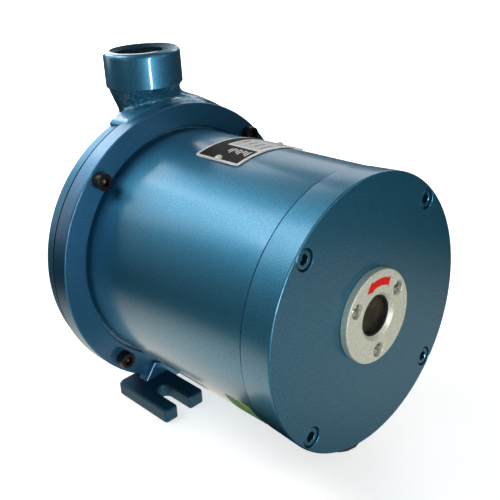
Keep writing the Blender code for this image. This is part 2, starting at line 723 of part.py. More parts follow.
def flange_profile():
    """Return the adapter flange's section: ring, end wall and the register for the housing."""
    bore = HOUSING_RADIUS + FLANGE_GROOVE_WIDTH
    register = HOUSING_BORE - SEAT
    nose = FLANGE_FACE + EDGE_BREAK
    return [
        (FLANGE_RADIUS - EDGE_BREAK, FLANGE_FACE), (FLANGE_RADIUS, FLANGE_FACE + EDGE_BREAK),
        (FLANGE_RADIUS, FLANGE_BACK), (BEARING_SEAT, FLANGE_BACK), (BEARING_SEAT, GROOVE_FLOOR),
        (register - REGISTER_WALL, GROOVE_FLOOR), (register - REGISTER_WALL, nose),
        (register - EDGE_BREAK, nose), (register, nose + EDGE_BREAK), (register, GROOVE_FLOOR),
        (bore, GROOVE_FLOOR), (bore, FLANGE_FACE + EDGE_BREAK), (bore + EDGE_BREAK, FLANGE_FACE),
    ]


def foot_outline():
    """Return the left foot's plan, a fork that opens towards the rear."""
    ground = -AXIS_HEIGHT
    corner = FOOT_CORNER
    small = 0.7 * corner
    slot_left = -SLOT_CENTRE - SLOT_RADIUS
    slot_right = -SLOT_CENTRE + SLOT_RADIUS
    plan = [
        (-FOOT_OUTER, FLANGE_BACK - corner), (-FOOT_OUTER, FOOT_FRONT + 1.6 * corner),
        (-FOOT_OUTER + corner, FOOT_FRONT), (slot_left - small, FOOT_FRONT),
        (slot_left, FOOT_FRONT + small),
    ]
    plan += arc((-SLOT_CENTRE, SLOT_REACH - SLOT_RADIUS), SLOT_RADIUS, 180, 0, 6)
    plan += [
        (slot_right, FOOT_FRONT + small), (slot_right + small, FOOT_FRONT),
        (-FOOT_INNER - corner, FOOT_FRONT), (-FOOT_INNER, FOOT_FRONT + corner),
        (-FOOT_INNER, FLANGE_BACK), (-FOOT_OUTER + corner, FLANGE_BACK),
    ]
    return [Vector((x, y, ground)) for x, y in plan]


def foot_plate():
    """Return the left foot, with the edge round its top broken."""
    shape = extruded(foot_outline(), (0, 0, FOOT_THICKNESS))
    top = FOOT_THICKNESS - AXIS_HEIGHT
    return bevel_edges(shape, EDGE_BREAK, lambda edge: all(
        abs(vert.co.z - top) < 1e-6 for vert in edge.verts))


def foot_web():
    """Return the raised web that ties both feet to the flange's face."""
    first = 180 + math.degrees(math.acos(WEB_TOP_HALF / WEB_INNER_RADIUS))
    rim = arc((0, 0), WEB_INNER_RADIUS, first, 540 - first, 10)
    foot_top = FOOT_THICKNESS - AXIS_HEIGHT
    low = -FLANGE_RADIUS + 1 * MM
    outline = rim + [(WEB_FOOT_HALF, foot_top - EDGE_BREAK), (WEB_FOOT_HALF, low),
                     (-WEB_FOOT_HALF, low), (-WEB_FOOT_HALF, foot_top - EDGE_BREAK)]
    points = [Vector((x, FLANGE_FACE - WEB_DEPTH, z)) for x, z in outline]
    return extruded(points, (0, WEB_DEPTH + FLANGE_DEPTH / 2, 0))


def make_flange(pump):
    flange = piece("adapter_flange", turned(flange_profile(), BIG_ROUND), "blue_enamel", pump)
    left = guide("left_foot_form", foot_plate(), pump)
    mirrored = foot_plate()
    bmesh.ops.scale(mirrored, vec=(-1, 1, 1), verts=mirrored.verts)
    bmesh.ops.recalc_face_normals(mirrored, faces=mirrored.faces)
    right = guide("right_foot_form", mirrored, pump)
    join(flange, left, right, guide("web_form", foot_web(), pump))
    cut(flange, *holes("flange_hole", pump, FLANGE_SCREW_CIRCLE, M6_RADIUS + M6_CLEARANCE,
                       FLANGE_FACE - OVERCUT, FLANGE_BACK + OVERCUT))
    screw = None
    for number, angle in enumerate(QUARTERS, 1):
        head = FLANGE_FACE - SEAT - M6_HEAD
        shape = screw or socket_screw(FLANGE_SCREW_LENGTH)
        made = piece(f"casing_screw_{number}", shape, "black_oxide", pump,
                     on_circle(FLANGE_SCREW_CIRCLE, angle, head))
        screw = made.data


def make_rear_cover(pump):
    spigot = HOUSING_BORE - SEAT
    groove = spigot - COVER_RING_SECTION - 2 * SEAT
    hub = BEARING_FLANGE_RADIUS + COVER_HUB_LEDGE
    glass_seat = GLASS_RADIUS + SEAT
    glass_floor = GLASS_DEPTH + GLASS_SEAL_DEPTH + 3 * SEAT
    ring_place = COVER_DEPTH + COVER_RING_SETBACK
    ring_end = ring_place + COVER_RING_WIDTH
    spigot_end = COVER_DEPTH + COVER_SPIGOT_LENGTH
    hollow = COVER_DEPTH - COVER_HOLLOW
    profile = [
        (COVER_RADIUS - EDGE_BREAK, 0), (COVER_RADIUS, EDGE_BREAK), (COVER_RIM_RADIUS, COVER_DEPTH),
        (spigot, COVER_DEPTH), (spigot, ring_place),
        (groove, ring_place), (groove, ring_end), (spigot, ring_end),
        (spigot, spigot_end), (spigot - REGISTER_WALL, spigot_end),
        (spigot - REGISTER_WALL, hollow), (hub, hollow),
        (hub, REAR_BEARING_FACE), (COVER_BORE, REAR_BEARING_FACE), (COVER_BORE, glass_floor),
        (glass_seat, glass_floor), (glass_seat, 0),
    ]
    cover = piece("rear_cover", turned(profile, BIG_ROUND), "blue_enamel", pump)
    through = holes("cover_hole", pump, COVER_SCREW_CIRCLE, M6_RADIUS + M6_CLEARANCE,
                    -OVERCUT, COVER_DEPTH + OVERCUT)
    sunk = holes("cover_counterbore", pump, COVER_SCREW_CIRCLE, COUNTERBORE_RADIUS,
                 -1.5 * OVERCUT, COUNTERBORE_DEPTH)
    tapped = holes("sight_thread", pump, SIGHT_SCREW_CIRCLE, M4_RADIUS + SEAT,
                   -OVERCUT, M4_LENGTH, SIGHT_SCREW_ANGLES)
    cut(cover, *through, *sunk, *tapped)
    seal = tube(groove + SEAT, groove + SEAT + COVER_RING_SECTION, ring_place + SEAT,
                ring_end - SEAT, BIG_ROUND)
    piece("cover_seal", seal, "rubber", pump)
    screw = None
    for number, angle in enumerate(QUARTERS, 1):
        shape = screw or socket_screw(COVER_SCREW_LENGTH)
        made = piece(f"cover_screw_{number}", shape, "blue_enamel", pump,
                     on_circle(COVER_SCREW_CIRCLE, angle, COVER_SCREW_RECESS))
        screw = made.data


def make_sight_flange(pump):
    outside = -SEAT - SIGHT_DEPTH
    profile = [
        (SIGHT_OPENING + SIGHT_CHAMFER, outside), (SIGHT_RADIUS - 0.5 * MM, outside),
        (SIGHT_RADIUS, outside + 0.5 * MM), (SIGHT_RADIUS, -SEAT), (SIGHT_OPENING, -SEAT),
        (SIGHT_OPENING, outside + SIGHT_CHAMFER),
    ]
    flange = piece("sight_flange", turned(profile), "bare_aluminium", pump)
    head_floor = outside + M4_HEAD + 2 * SEAT
    through = holes("sight_hole", pump, SIGHT_SCREW_CIRCLE, M4_RADIUS + SEAT,
                    outside - OVERCUT, OVERCUT, SIGHT_SCREW_ANGLES)
    sunk = holes("sight_recess", pump, SIGHT_SCREW_CIRCLE, M4_RECESS_RADIUS,
                 outside - 1.5 * OVERCUT, head_floor, SIGHT_SCREW_ANGLES)
    cut(flange, *through, *sunk)
    screw = slotted_screw("sight_screw", pump, M4_LENGTH - SIGHT_DEPTH)
    for number, angle in enumerate(SIGHT_SCREW_ANGLES, 1):
        piece(f"sight_screw_{number}", screw, "stainless", pump,
              on_circle(SIGHT_SCREW_CIRCLE, angle, outside + SEAT),
              (0, math.radians(25 * number), 0))
    glass_end = SEAT + GLASS_DEPTH
    glass = turned([(0, 0), (GLASS_RADIUS - 0.4 * MM, 0), (GLASS_RADIUS, 0.4 * MM),
                    (GLASS_RADIUS, GLASS_DEPTH), (0, GLASS_DEPTH)])
    piece("sight_glass", glass, "glass", pump, (0, SEAT, 0))
    seal = tube(COVER_BORE + 0.5 * MM, GLASS_RADIUS, glass_end + SEAT,
                glass_end + SEAT + GLASS_SEAL_DEPTH)
    piece("sight_glass_seal", seal, "rubber", pump)


def bearing_spigot(start, seal_place):
    """Return the profile points of a spigot that seals the can, from its root to its end."""
    return [
        (SPIGOT_RADIUS, start), (SPIGOT_RADIUS, seal_place), (SEAL_FLOOR, seal_place),
        (SEAL_FLOOR, seal_place + SEAL_WIDTH), (SPIGOT_RADIUS, seal_place + SEAL_WIDTH),
    ]


def make_bearings(pump):
    rear_seal = REAR_FLANGE_END + CAN_SEAL_SETBACK
    rear = [(BUSH_SEAT, REAR_BEARING_FACE + SEAT), (BEARING_FLANGE_RADIUS, REAR_BEARING_FACE + SEAT),
            (BEARING_FLANGE_RADIUS, REAR_FLANGE_END)]
    rear += bearing_spigot(REAR_FLANGE_END, rear_seal)
    rear += [(SPIGOT_RADIUS, REAR_SPIGOT_END), (BUSH_SEAT, REAR_SPIGOT_END)]
    piece("rear_bearing_housing", turned(rear), "stainless", pump)
    front_seal = FRONT_BEARING_FACE + CAN_SEAL_SETBACK
    flange = BEARING_SEAT + CLAMP_WIDTH
    front = [(BUSH_SEAT, FRONT_BEARING_FACE)]
    front += bearing_spigot(FRONT_BEARING_FACE, front_seal)
    front += [
        (SPIGOT_RADIUS, FRONT_FLANGE_START), (flange, FRONT_FLANGE_START),
        (flange, GROOVE_FLOOR - SEAT), (BEARING_SEAT - SEAT, GROOVE_FLOOR - SEAT),
        (BEARING_SEAT - SEAT, FLANGE_BACK - SEAT), (BUSH_SEAT, FLANGE_BACK - SEAT),
    ]
    piece("front_bearing_housing", turned(front), "stainless", pump)
    bush_bore = SLEEVE_RADIUS + RUNNING
    for name, start in (("rear", REAR_BEARING_FACE + 2 * SEAT), ("front", FRONT_BEARING_FACE + SEAT)):
        bush = tube(bush_bore, BUSH_RADIUS, start, start + BUSH_LENGTH)
        piece(f"{name}_bearing_bush", bush, "carbon", pump)
    for name, place in (("rear", rear_seal), ("front", front_seal)):
        seal = tube(SEAL_FLOOR + SEAT, SPIGOT_RADIUS, place + SEAT, place + SEAL_WIDTH - SEAT)
        piece(f"can_seal_{name}", seal, "rubber", pump)


def make_motor(pump):
    profile = [
        (HOUSING_BORE, HOUSING_START), (HOUSING_RADIUS - 0.5 * MM, HOUSING_START),
        (HOUSING_RADIUS, HOUSING_START + 0.5 * MM), (HOUSING_RADIUS, HOUSING_END),
        (HOUSING_BORE, HOUSING_END),
    ]
    housing = piece("stator_housing", turned(profile, BIG_ROUND), "blue_enamel", pump)
    screw_end = COVER_SCREW_RECESS + M6_HEAD + COVER_SCREW_LENGTH
    drilled = holes("housing_thread", pump, COVER_SCREW_CIRCLE, M6_RADIUS + M6_CLEARANCE,
                    HOUSING_START - OVERCUT, screw_end + 1 * MM)
    stud_hole = rod(M6_RADIUS + M6_CLEARANCE, HOUSING_BORE + 2 * MM, HOUSING_RADIUS + OVERCUT,
                    SCREW_ROUND)
    drilled.append(guide("stud_hole", stud_hole, pump, (0, REAR_FOOT_PLACE, 0), DOWNWARD))
    for number, angle in enumerate(rivet_angles(), 1):
        hole = rod(RIVET_RADIUS + SEAT, HOUSING_RADIUS - RIVET_LENGTH - SEAT,
                   HOUSING_RADIUS + OVERCUT, SCREW_ROUND)
        drilled.append(guide(f"rivet_hole_{number}", hole, pump, rivet_place(), radial(angle)))
    lead_hole = rod(CABLE_HOLE_RADIUS, HOUSING_BORE - OVERCUT, HOUSING_RADIUS + OVERCUT)
    drilled.append(guide("lead_hole", lead_hole, pump, BOX_PLACE, TO_RIGHT))
    cut(housing, *drilled)
    core = tube(CAN_RADIUS + CAN_WALL + SEAT, HOUSING_BORE - SEAT, STACK_START, STACK_END, BIG_ROUND)
    piece("stator_core", core, "steel_lamination", pump)
    for name, start in (("rear", STACK_START - SEAT - WINDING_LENGTH), ("front", STACK_END + SEAT)):
        coil = turned(winding_profile(start))
        piece(f"winding_{name}", coil, "copper_enamel", pump)
    can = tube(CAN_RADIUS, CAN_RADIUS + CAN_WALL, REAR_FLANGE_END + SEAT, FRONT_FLANGE_START - SEAT)
    piece("stator_can", can, "stainless", pump)


def winding_profile(start):
    """Return the rounded section of an end winding."""
    corner = min(WINDING_ROUND, (WINDING_OUTER - WINDING_INNER) / 3)
    end = start + WINDING_LENGTH
    profile = arc((WINDING_OUTER - corner, start + corner), corner, -90, 0, 1)
    profile += arc((WINDING_OUTER - corner, end - corner), corner, 0, 90, 1)
    profile += arc((WINDING_INNER + corner, end - corner), corner, 90, 180, 1)
    profile += arc((WINDING_INNER + corner, start + corner), corner, 180, 270, 1)
    return profile


def radial(angle):
    """Return the turn that points a piece made along +Y outwards at an angle."""
    direction = on_circle(1, angle)
    return Vector((0, 1, 0)).rotation_difference(direction).to_euler()


def rivet_angles():
    return (PLATE_LAST_ANGLE - RIVET_INSET_ANGLE, PLATE_FIRST_ANGLE + RIVET_INSET_ANGLE)


def rivet_place():
    return (0, PLATE_START + PLATE_WIDTH / 2, 0)


def nameplate_ring(angle, cut):
    """Return the four corners of the plate's section at an angle, with its ends cut back."""
    inner = HOUSING_RADIUS + SEAT
    outer = inner + PLATE_THICKNESS
    low = PLATE_START + cut
    high = PLATE_START + PLATE_WIDTH - cut
    return [on_circle(inner, angle, low), on_circle(outer, angle, low),
            on_circle(outer, angle, high), on_circle(inner, angle, high)]


def make_nameplate(pump):
    corner_angle = math.degrees(PLATE_CORNER / HOUSING_RADIUS)
    steps = 8
    rings = [nameplate_ring(PLATE_FIRST_ANGLE, PLATE_CORNER)]
    first = PLATE_FIRST_ANGLE + corner_angle
    last = PLATE_LAST_ANGLE - corner_angle
    for index in range(steps + 1):
        rings.append(nameplate_ring(first + (last - first) * index / steps, 0))
    rings.append(nameplate_ring(PLATE_LAST_ANGLE, PLATE_CORNER))
    plate = piece("nameplate", lofted(rings), "nameplate", pump)
    top = HOUSING_RADIUS + SEAT + PLATE_THICKNESS + SEAT
    for number, angle in enumerate(rivet_angles(), 1):
        hole = rod(RIVET_RADIUS + SEAT, HOUSING_RADIUS - OVERCUT, top + OVERCUT, SCREW_ROUND)
        cut(plate, guide(f"plate_hole_{number}", hole, pump, rivet_place(), radial(angle)))
        rivet = turned([
            (0, HOUSING_RADIUS - RIVET_LENGTH), (RIVET_RADIUS, HOUSING_RADIUS - RIVET_LENGTH),
            (RIVET_RADIUS, top), (RIVET_HEAD_RADIUS, top),
            (0.9 * RIVET_HEAD_RADIUS, top + 0.45 * RIVET_HEAD),
            (0.55 * RIVET_HEAD_RADIUS, top + 0.85 * RIVET_HEAD), (0, top + RIVET_HEAD),
        ], SCREW_ROUND)
        piece(f"nameplate_rivet_{number}", rivet, "bare_aluminium", pump, rivet_place(),
              radial(angle))


def make_rear_foot(pump):
    """Make the rubber buffer under the rear end, shaped to the housing and the cover above it."""
    ground = AXIS_HEIGHT
    top = HOUSING_RADIUS - 4 * MM
    shape = turned([
        (0, top), (REAR_FOOT_RADIUS, top), (REAR_FOOT_RADIUS, ground - 1 * MM),
        (REAR_FOOT_RADIUS - 1 * MM, ground), (0, ground),
    ], SMALL_ROUND)
    foot = piece("rear_foot", shape, "rubber", pump, (0, REAR_FOOT_PLACE, 0), DOWNWARD)
    edge = COVER_DEPTH + SEAT
    over_cover = COVER_RADIUS + SEAT
    over_housing = HOUSING_RADIUS + SEAT
    saddle = turned([
        (0, 0), (over_cover, 0), (over_cover, edge), (over_housing, edge),
        (over_housing, FLANGE_FACE / 2), (0, FLANGE_FACE / 2),
    ], BIG_ROUND)
    socket = HOUSING_RADIUS + REAR_FOOT_STUD_LENGTH - REAR_FOOT_STUD_DEPTH
    hole = rod(M6_RADIUS + M6_CLEARANCE, HOUSING_RADIUS - OVERCUT, socket, SCREW_ROUND)
    cut(foot, guide("foot_saddle", saddle, pump),
        guide("foot_socket", hole, pump, (0, REAR_FOOT_PLACE, 0), DOWNWARD))
    stud_start = HOUSING_RADIUS - REAR_FOOT_STUD_DEPTH
    stud = turned([
        (0, stud_start), (M6_RADIUS - 0.6 * MM, stud_start), (M6_RADIUS, stud_start + 0.6 * MM),
        (M6_RADIUS, socket - SEAT), (0, socket - SEAT),
    ], SCREW_ROUND)
    piece("rear_foot_stud", stud, "stainless", pump, (0, REAR_FOOT_PLACE, 0), DOWNWARD)


def box_outline(inset, x):
    """Return the rounded outline of the terminal box at x, drawn in from its sides."""
    half_length = BOX_LENGTH / 2 - inset
    half_height = BOX_HEIGHT / 2 - inset
    corner = max(BOX_CORNER - inset, BOX_SMALL_CORNER)
    points = []
    for first, along, up in ((0, 1, 1), (90, -1, 1), (180, -1, -1), (270, 1, -1)):
        centre = (along * (half_length - corner), up * (half_height - corner))
        points += arc(centre, corner, first, first + 90, 2)
    return [Vector((x, BOX_PLACE.y + y, BOX_PLACE.z + z)) for y, z in points]


def box_screw_places():
    """Return the lid screws' places as (y, z), one in each corner."""
    half_length = BOX_LENGTH / 2 - BOX_SCREW_INSET
    half_height = BOX_HEIGHT / 2 - BOX_SCREW_INSET
    signs = ((1, 1), (-1, 1), (-1, -1), (1, -1))
    return [(BOX_PLACE.y + a * half_length, BOX_PLACE.z + b * half_height) for a, b in signs]


def make_terminal_box(pump):
    base = math.sqrt((HOUSING_RADIUS + SEAT) ** 2 - (BOX_HEIGHT / 2 - BOX_PLACE.z) ** 2) - 1 * MM
    box = piece("terminal_box", lofted([box_outline(0, base), box_outline(0, BOX_FACE)]),
                "blue_enamel", pump)
    saddle = rod(HOUSING_RADIUS + SEAT, 0, FLANGE_FACE, BIG_ROUND)
    hollow = lofted([hollow_outline(BOX_FLOOR), hollow_outline(BOX_FACE + OVERCUT)])
    lead = rod(CABLE_HOLE_RADIUS, HOUSING_RADIUS - OVERCUT, BOX_FLOOR + OVERCUT)
    wall_hole = rod(GLAND_THREAD_RADIUS + SEAT, BOX_HEIGHT / 2 - BOX_WALL - OVERCUT,
                    BOX_HEIGHT / 2 + OVERCUT)
    cut(box, guide("box_saddle", saddle, pump), guide("box_hollow", hollow, pump),
        guide("box_lead_hole", lead, pump, BOX_PLACE, TO_RIGHT),
        guide("box_gland_hole", wall_hole, pump, gland_place(), DOWNWARD))
    gasket_start = BOX_FACE + SEAT
    lid_start = gasket_start + BOX_GASKET_DEPTH + SEAT
    lid_end = lid_start + LID_DEPTH
    gasket = piece("terminal_box_gasket", lofted([
        box_outline(0, gasket_start), box_outline(0, gasket_start + BOX_GASKET_DEPTH)]),
        "rubber", pump)
    window = lofted([hollow_outline(BOX_FACE - OVERCUT), hollow_outline(lid_start + OVERCUT)])
    cut(gasket, guide("gasket_window", window, pump))
    lid = piece("terminal_box_lid", lofted([
        box_outline(0, lid_start), box_outline(0, lid_end - LID_EDGE),
        box_outline(LID_EDGE, lid_end)]), "blue_enamel", pump)
    screw = slotted_screw("lid_screw", pump, LID_DEPTH + BOX_GASKET_DEPTH + BOX_SCREW_REACH)
    drills = []
    for number, (y, z) in enumerate(box_screw_places(), 1):
        hole = rod(M4_RADIUS + SEAT, BOX_FACE - BOX_SCREW_HOLE, lid_end + OVERCUT, SCREW_ROUND)
        drills.append(guide(f"lid_hole_{number}", hole, pump, (0, y, z), TO_RIGHT))
        piece(f"lid_screw_{number}", screw, "stainless", pump,
              (lid_end + SEAT + M4_HEAD, y, z), TO_LEFT)
    for target in (box, gasket, lid):
        cut(target, *drills)
    low = Vector((BOX_FLOOR + SEAT, BOX_PLACE.y - BLOCK_SIZE.y / 2, BOX_PLACE.z + BLOCK_RISE))
    terminal = block(low, low + BLOCK_SIZE)
    piece("terminal_block", terminal, "cream_plastic", pump)


def hollow_outline(x):
    """Return the box's inner outline, which leaves a screw post in each corner."""
    half_length = BOX_LENGTH / 2 - BOX_WALL
    half_height = BOX_HEIGHT / 2 - BOX_WALL
    post = 2 * BOX_SCREW_INSET - BOX_WALL - 1.5 * MM
    points = []
    for along, up in ((1, 1), (-1, 1), (-1, -1), (1, -1)):
        corner = [(along * half_length, up * (half_height - post)),
                  (along * (half_length - post), up * (half_height - post)),
                  (along * (half_length - post), up * half_height)]
        points += corner if along * up > 0 else corner[::-1]
    return [Vector((x, BOX_PLACE.y + y, BOX_PLACE.z + z)) for y, z in points]


def gland_place():
    return (GLAND_PLACE_X, BOX_PLACE.y, BOX_PLACE.z)


def make_gland(pump):
    """Make the cable gland under the terminal box, closed by its sealing insert."""
    wall = BOX_HEIGHT / 2
    hex_end = wall + GLAND_HEX_END
    body_end = wall + GLAND_BODY_END
    neck = GLAND_FLATS - GLAND_WALL
    body = lofted([
        round_ring(GLAND_THREAD_RADIUS, wall - BOX_WALL - GLAND_TAIL),
        round_ring(GLAND_THREAD_RADIUS, wall + SEAT),
        hexagon_ring(GLAND_FLATS, wall + SEAT), hexagon_ring(GLAND_FLATS, hex_end),
        round_ring(neck, hex_end), round_ring(neck, body_end),
    ])
    piece("cable_gland", body, "black_plastic", pump, gland_place(), DOWNWARD)
    nut_start = hex_end + SEAT
    nut_end = wall + GLAND_NUT_END
    skirt = neck + SEAT
    nut = lofted([
        round_ring(skirt, nut_start), hexagon_ring(GLAND_FLATS, nut_start),
        hexagon_ring(GLAND_FLATS, nut_end - GLAND_NUT_DOME),
        round_ring(GLAND_FLATS - GLAND_NUT_STEP, nut_end - GLAND_NUT_SHOULDER),
        round_ring(GLAND_MOUTH_RADIUS + GLAND_LIP, nut_end),
        round_ring(GLAND_MOUTH_RADIUS, nut_end),
        round_ring(GLAND_MOUTH_RADIUS, nut_end - GLAND_LIP),
        round_ring(skirt, nut_end - GLAND_NUT_HOLLOW),
    ], closed=True)
    piece("gland_nut", nut, "black_plastic", pump, gland_place(), DOWNWARD)
    insert_start = body_end + SEAT
    insert_end = nut_end - GLAND_INSERT_RECESS
    insert = turned([
        (0, insert_start), (GLAND_MOUTH_RADIUS + GLAND_INSERT_WALL, insert_start),
        (GLAND_MOUTH_RADIUS - SEAT, insert_end), (0, insert_end),
    ], SCREW_ROUND)
    piece("gland_seal", insert, "rubber", pump, gland_place(), DOWNWARD)


def make_shaft(rotor):
    front = IMPELLER_HUB_END - SEAT
    end = front + SHAFT_THREAD_LENGTH
    shaft = piece("shaft", turned([
        (0, SHAFT_REAR), (SHAFT_RADIUS - 1 * MM, SHAFT_REAR), (SHAFT_RADIUS, SHAFT_REAR + 1 * MM),
        (SHAFT_RADIUS, front), (SHAFT_THREAD_RADIUS, front),
        (SHAFT_THREAD_RADIUS, end - 0.8 * MM), (SHAFT_THREAD_RADIUS - 0.8 * MM, end), (0, end),
    ], SMALL_ROUND), "stainless", rotor)
    slot = block((-2 * SHAFT_RADIUS, SHAFT_REAR - OVERCUT, -1 * MM),
                 (2 * SHAFT_RADIUS, SHAFT_REAR + 2.5 * MM, 1 * MM))
    half = KEY_WIDTH / 2
    key_start = KEY_START - SEAT
    keyway = block((-half - SEAT, key_start, KEY_FLOOR - SEAT),
                   (half + SEAT, KEY_START + KEY_LENGTH + SEAT, 2 * SHAFT_RADIUS))
    cut(shaft, guide("shaft_slot", slot, rotor), guide("shaft_keyway", keyway, rotor))
    key = block((-half, KEY_START, KEY_FLOOR), (half, KEY_START + KEY_LENGTH, KEY_TOP))
    piece("impeller_key", key, "stainless", rotor)


def make_rotor(rotor):
    core_radius = CAN_RADIUS - AIR_GAP - ROTOR_CAN_WALL - SEAT
    ring_radius = core_radius - END_RING_STEP
    edge = END_RING_EDGE
    rear = STACK_START - END_RING_LENGTH
    front = STACK_END + END_RING_LENGTH
    core = turned([
        (SHAFT_SEAT, rear), (ring_radius - edge, rear), (ring_radius, rear + edge),
        (ring_radius, STACK_START), (core_radius, STACK_START), (core_radius, STACK_END),
        (ring_radius, STACK_END), (ring_radius, front - edge), (ring_radius - edge, front),
        (SHAFT_SEAT, front),
    ])
    piece("rotor_core", core, "steel_lamination", rotor)
    can = tube(core_radius + SEAT, CAN_RADIUS - AIR_GAP, rear + 1 * MM, front - 1 * MM)
    piece("rotor_can", can, "stainless", rotor)
    washers = (("rear", rear - SEAT - THRUST_WASHER_DEPTH), ("front", front + SEAT))
    for name, start in washers:
        washer = tube(SHAFT_SEAT, THRUST_WASHER_RADIUS, start, start + THRUST_WASHER_DEPTH)
        piece(f"{name}_thrust_washer", washer, "carbon", rotor)
    sleeves = (
        ("rear", REAR_BEARING_FACE + 2 * SEAT, washers[0][1] - SEAT),
        ("front", washers[1][1] + THRUST_WASHER_DEPTH + SEAT, IMPELLER_HUB_START - SEAT),
    )
    for name, start, end in sleeves:
        piece(f"{name}_shaft_sleeve", tube(SHAFT_SEAT, SLEEVE_RADIUS, start, end, SMALL_ROUND),
              "stainless", rotor)


def vane_rings():
    """Return the sections of one backward-curved vane, from the eye to the rim."""
    start_radius = EYE_RADIUS + 0.6 * MM
    end_radius = IMPELLER_RADIUS - 0.4 * MM
    low = IMPELLER_BACK + PLATE_DEPTH - 0.5 * MM
    high = IMPELLER_BACK + PLATE_DEPTH + VANE_HEIGHT + 0.7 * MM
    rings = []
    for index in range(VANE_STEPS + 1):
        share = index / VANE_STEPS
        radius = start_radius * (end_radius / start_radius) ** share
        swept = math.log(radius / start_radius) / math.tan(math.radians(VANE_ANGLE))
        half = VANE_THICKNESS / 2 * (0.55 if index in (0, VANE_STEPS) else 1)
        lean = math.degrees(half / math.sin(math.radians(VANE_ANGLE)) / radius)
        middle = -math.degrees(swept)
        rings.append([on_circle(radius, middle - lean, low), on_circle(radius, middle + lean, low),
                      on_circle(radius, middle + lean, high), on_circle(radius, middle - lean, high)])
    return rings


def make_impeller(rotor):
    hub = SHAFT_SEAT + IMPELLER_HUB_WALL
    plate_front = IMPELLER_BACK + PLATE_DEPTH
    back = turned([
        (SHAFT_SEAT, IMPELLER_HUB_START), (hub, IMPELLER_HUB_START), (hub, IMPELLER_BACK - 2 * MM),
        (hub + 3 * MM, IMPELLER_BACK), (IMPELLER_RADIUS, IMPELLER_BACK),
        (IMPELLER_RADIUS, plate_front), (hub + 9 * MM, plate_front + 0.6 * MM),
        (hub + 2.5 * MM, plate_front + 4.5 * MM), (hub + 0.5 * MM, IMPELLER_HUB_END),
        (SHAFT_SEAT, IMPELLER_HUB_END),
    ])
    impeller = piece("impeller", back, "bronze", rotor)
    vanes = [guide(f"vane_form_{number + 1}", lofted(vane_rings()), rotor,
                   turn=(0, math.radians(360 * number / VANE_COUNT), 0))
             for number in range(VANE_COUNT)]
    shroud_back = plate_front + VANE_HEIGHT
    eye_end = SHROUD_FACE + 1.4 * MM + EYE_LENGTH
    shroud = turned([
        (IMPELLER_RADIUS, shroud_back), (IMPELLER_RADIUS, SHROUD_FACE - 0.4 * MM),
        (EYE_OUTER + 2.3 * MM, SHROUD_FACE + 0.4 * MM), (EYE_OUTER, SHROUD_FACE + 1.4 * MM),
        (EYE_OUTER, eye_end), (EYE_RADIUS, eye_end),
        (EYE_RADIUS, SHROUD_FACE + 3 * MM), (EYE_RADIUS + 1.4 * MM, SHROUD_FACE + 0.4 * MM),
        (EYE_RADIUS + 6 * MM, shroud_back + 0.7 * MM),
    ])
    join(impeller, *vanes, guide("shroud_form", shroud, rotor))
    half = KEY_WIDTH / 2 + SEAT
    keyway = block((-half, IMPELLER_HUB_START - OVERCUT, 0),
                   (half, IMPELLER_HUB_END + OVERCUT, KEY_TOP + SEAT))
    cut(impeller, guide("impeller_keyway", keyway, rotor))
    washer_start = IMPELLER_HUB_END + SEAT
    washer = tube(SHAFT_THREAD_RADIUS + SEAT, WASHER_RADIUS, washer_start,
                  washer_start + WASHER_DEPTH, SMALL_ROUND)
    piece("impeller_washer", washer, "stainless", rotor)
    nut_start = washer_start + WASHER_DEPTH + SEAT
    nut_end = nut_start + NUT_LENGTH
    bore = SHAFT_THREAD_RADIUS + SEAT
    nut = lofted([
        round_ring(bore, nut_start), hexagon_ring(NUT_FLATS, nut_start),
        hexagon_ring(NUT_FLATS, nut_end - 1 * MM), round_ring(NUT_FLATS - 0.4 * MM, nut_end),
        round_ring(bore, nut_end),
    ], closed=True)
    piece("impeller_nut", nut, "stainless", rotor)


def main():
    clear_scene()
    box_side = BOX_FACE + BOX_GASKET_DEPTH + LID_DEPTH + 3 * SEAT + M4_HEAD
    middle_x = (box_side - FLANGE_RADIUS) / 2
    middle_y = (PORT_FACE - SEAT - SIGHT_DEPTH) / 2
    pump = empty("pump_frame", (-middle_x, -middle_y, AXIS_HEIGHT))
    rotor = empty("rotor_axis", (0, 0, 0), pump)
    make_rear_cover(pump)
    make_sight_flange(pump)
    make_motor(pump)
    make_bearings(pump)
    make_nameplate(pump)
    make_rear_foot(pump)
    make_terminal_box(pump)
    make_gland(pump)
    make_flange(pump)
    make_casing(pump)
    make_shaft(rotor)
    make_rotor(rotor)
    make_impeller(rotor)


main()
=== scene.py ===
import json
import math

import bpy
from mathutils import Matrix, Vector


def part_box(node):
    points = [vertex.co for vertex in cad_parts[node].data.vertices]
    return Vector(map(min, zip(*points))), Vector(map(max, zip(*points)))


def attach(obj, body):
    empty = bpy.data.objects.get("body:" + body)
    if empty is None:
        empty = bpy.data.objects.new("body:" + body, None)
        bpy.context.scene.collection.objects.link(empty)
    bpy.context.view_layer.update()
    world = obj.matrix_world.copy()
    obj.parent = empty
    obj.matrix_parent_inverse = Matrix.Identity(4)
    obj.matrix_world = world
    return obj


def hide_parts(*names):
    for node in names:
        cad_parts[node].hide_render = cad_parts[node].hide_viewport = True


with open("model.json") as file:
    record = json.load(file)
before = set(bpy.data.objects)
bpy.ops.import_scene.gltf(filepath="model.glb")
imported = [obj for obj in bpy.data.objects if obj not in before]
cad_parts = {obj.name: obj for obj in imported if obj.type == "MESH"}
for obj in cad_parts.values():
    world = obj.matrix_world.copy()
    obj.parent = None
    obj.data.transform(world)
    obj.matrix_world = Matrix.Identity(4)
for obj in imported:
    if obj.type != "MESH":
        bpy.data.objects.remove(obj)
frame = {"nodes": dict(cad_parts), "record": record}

# Sizes are in millimetres from the middle of the rear cover's face, with the shaft along +Y.
# spot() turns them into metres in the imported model's own frame.
MM = 0.001
SIDE = Vector((1, 0, 0))
ALONG = Vector((0, 1, 0))
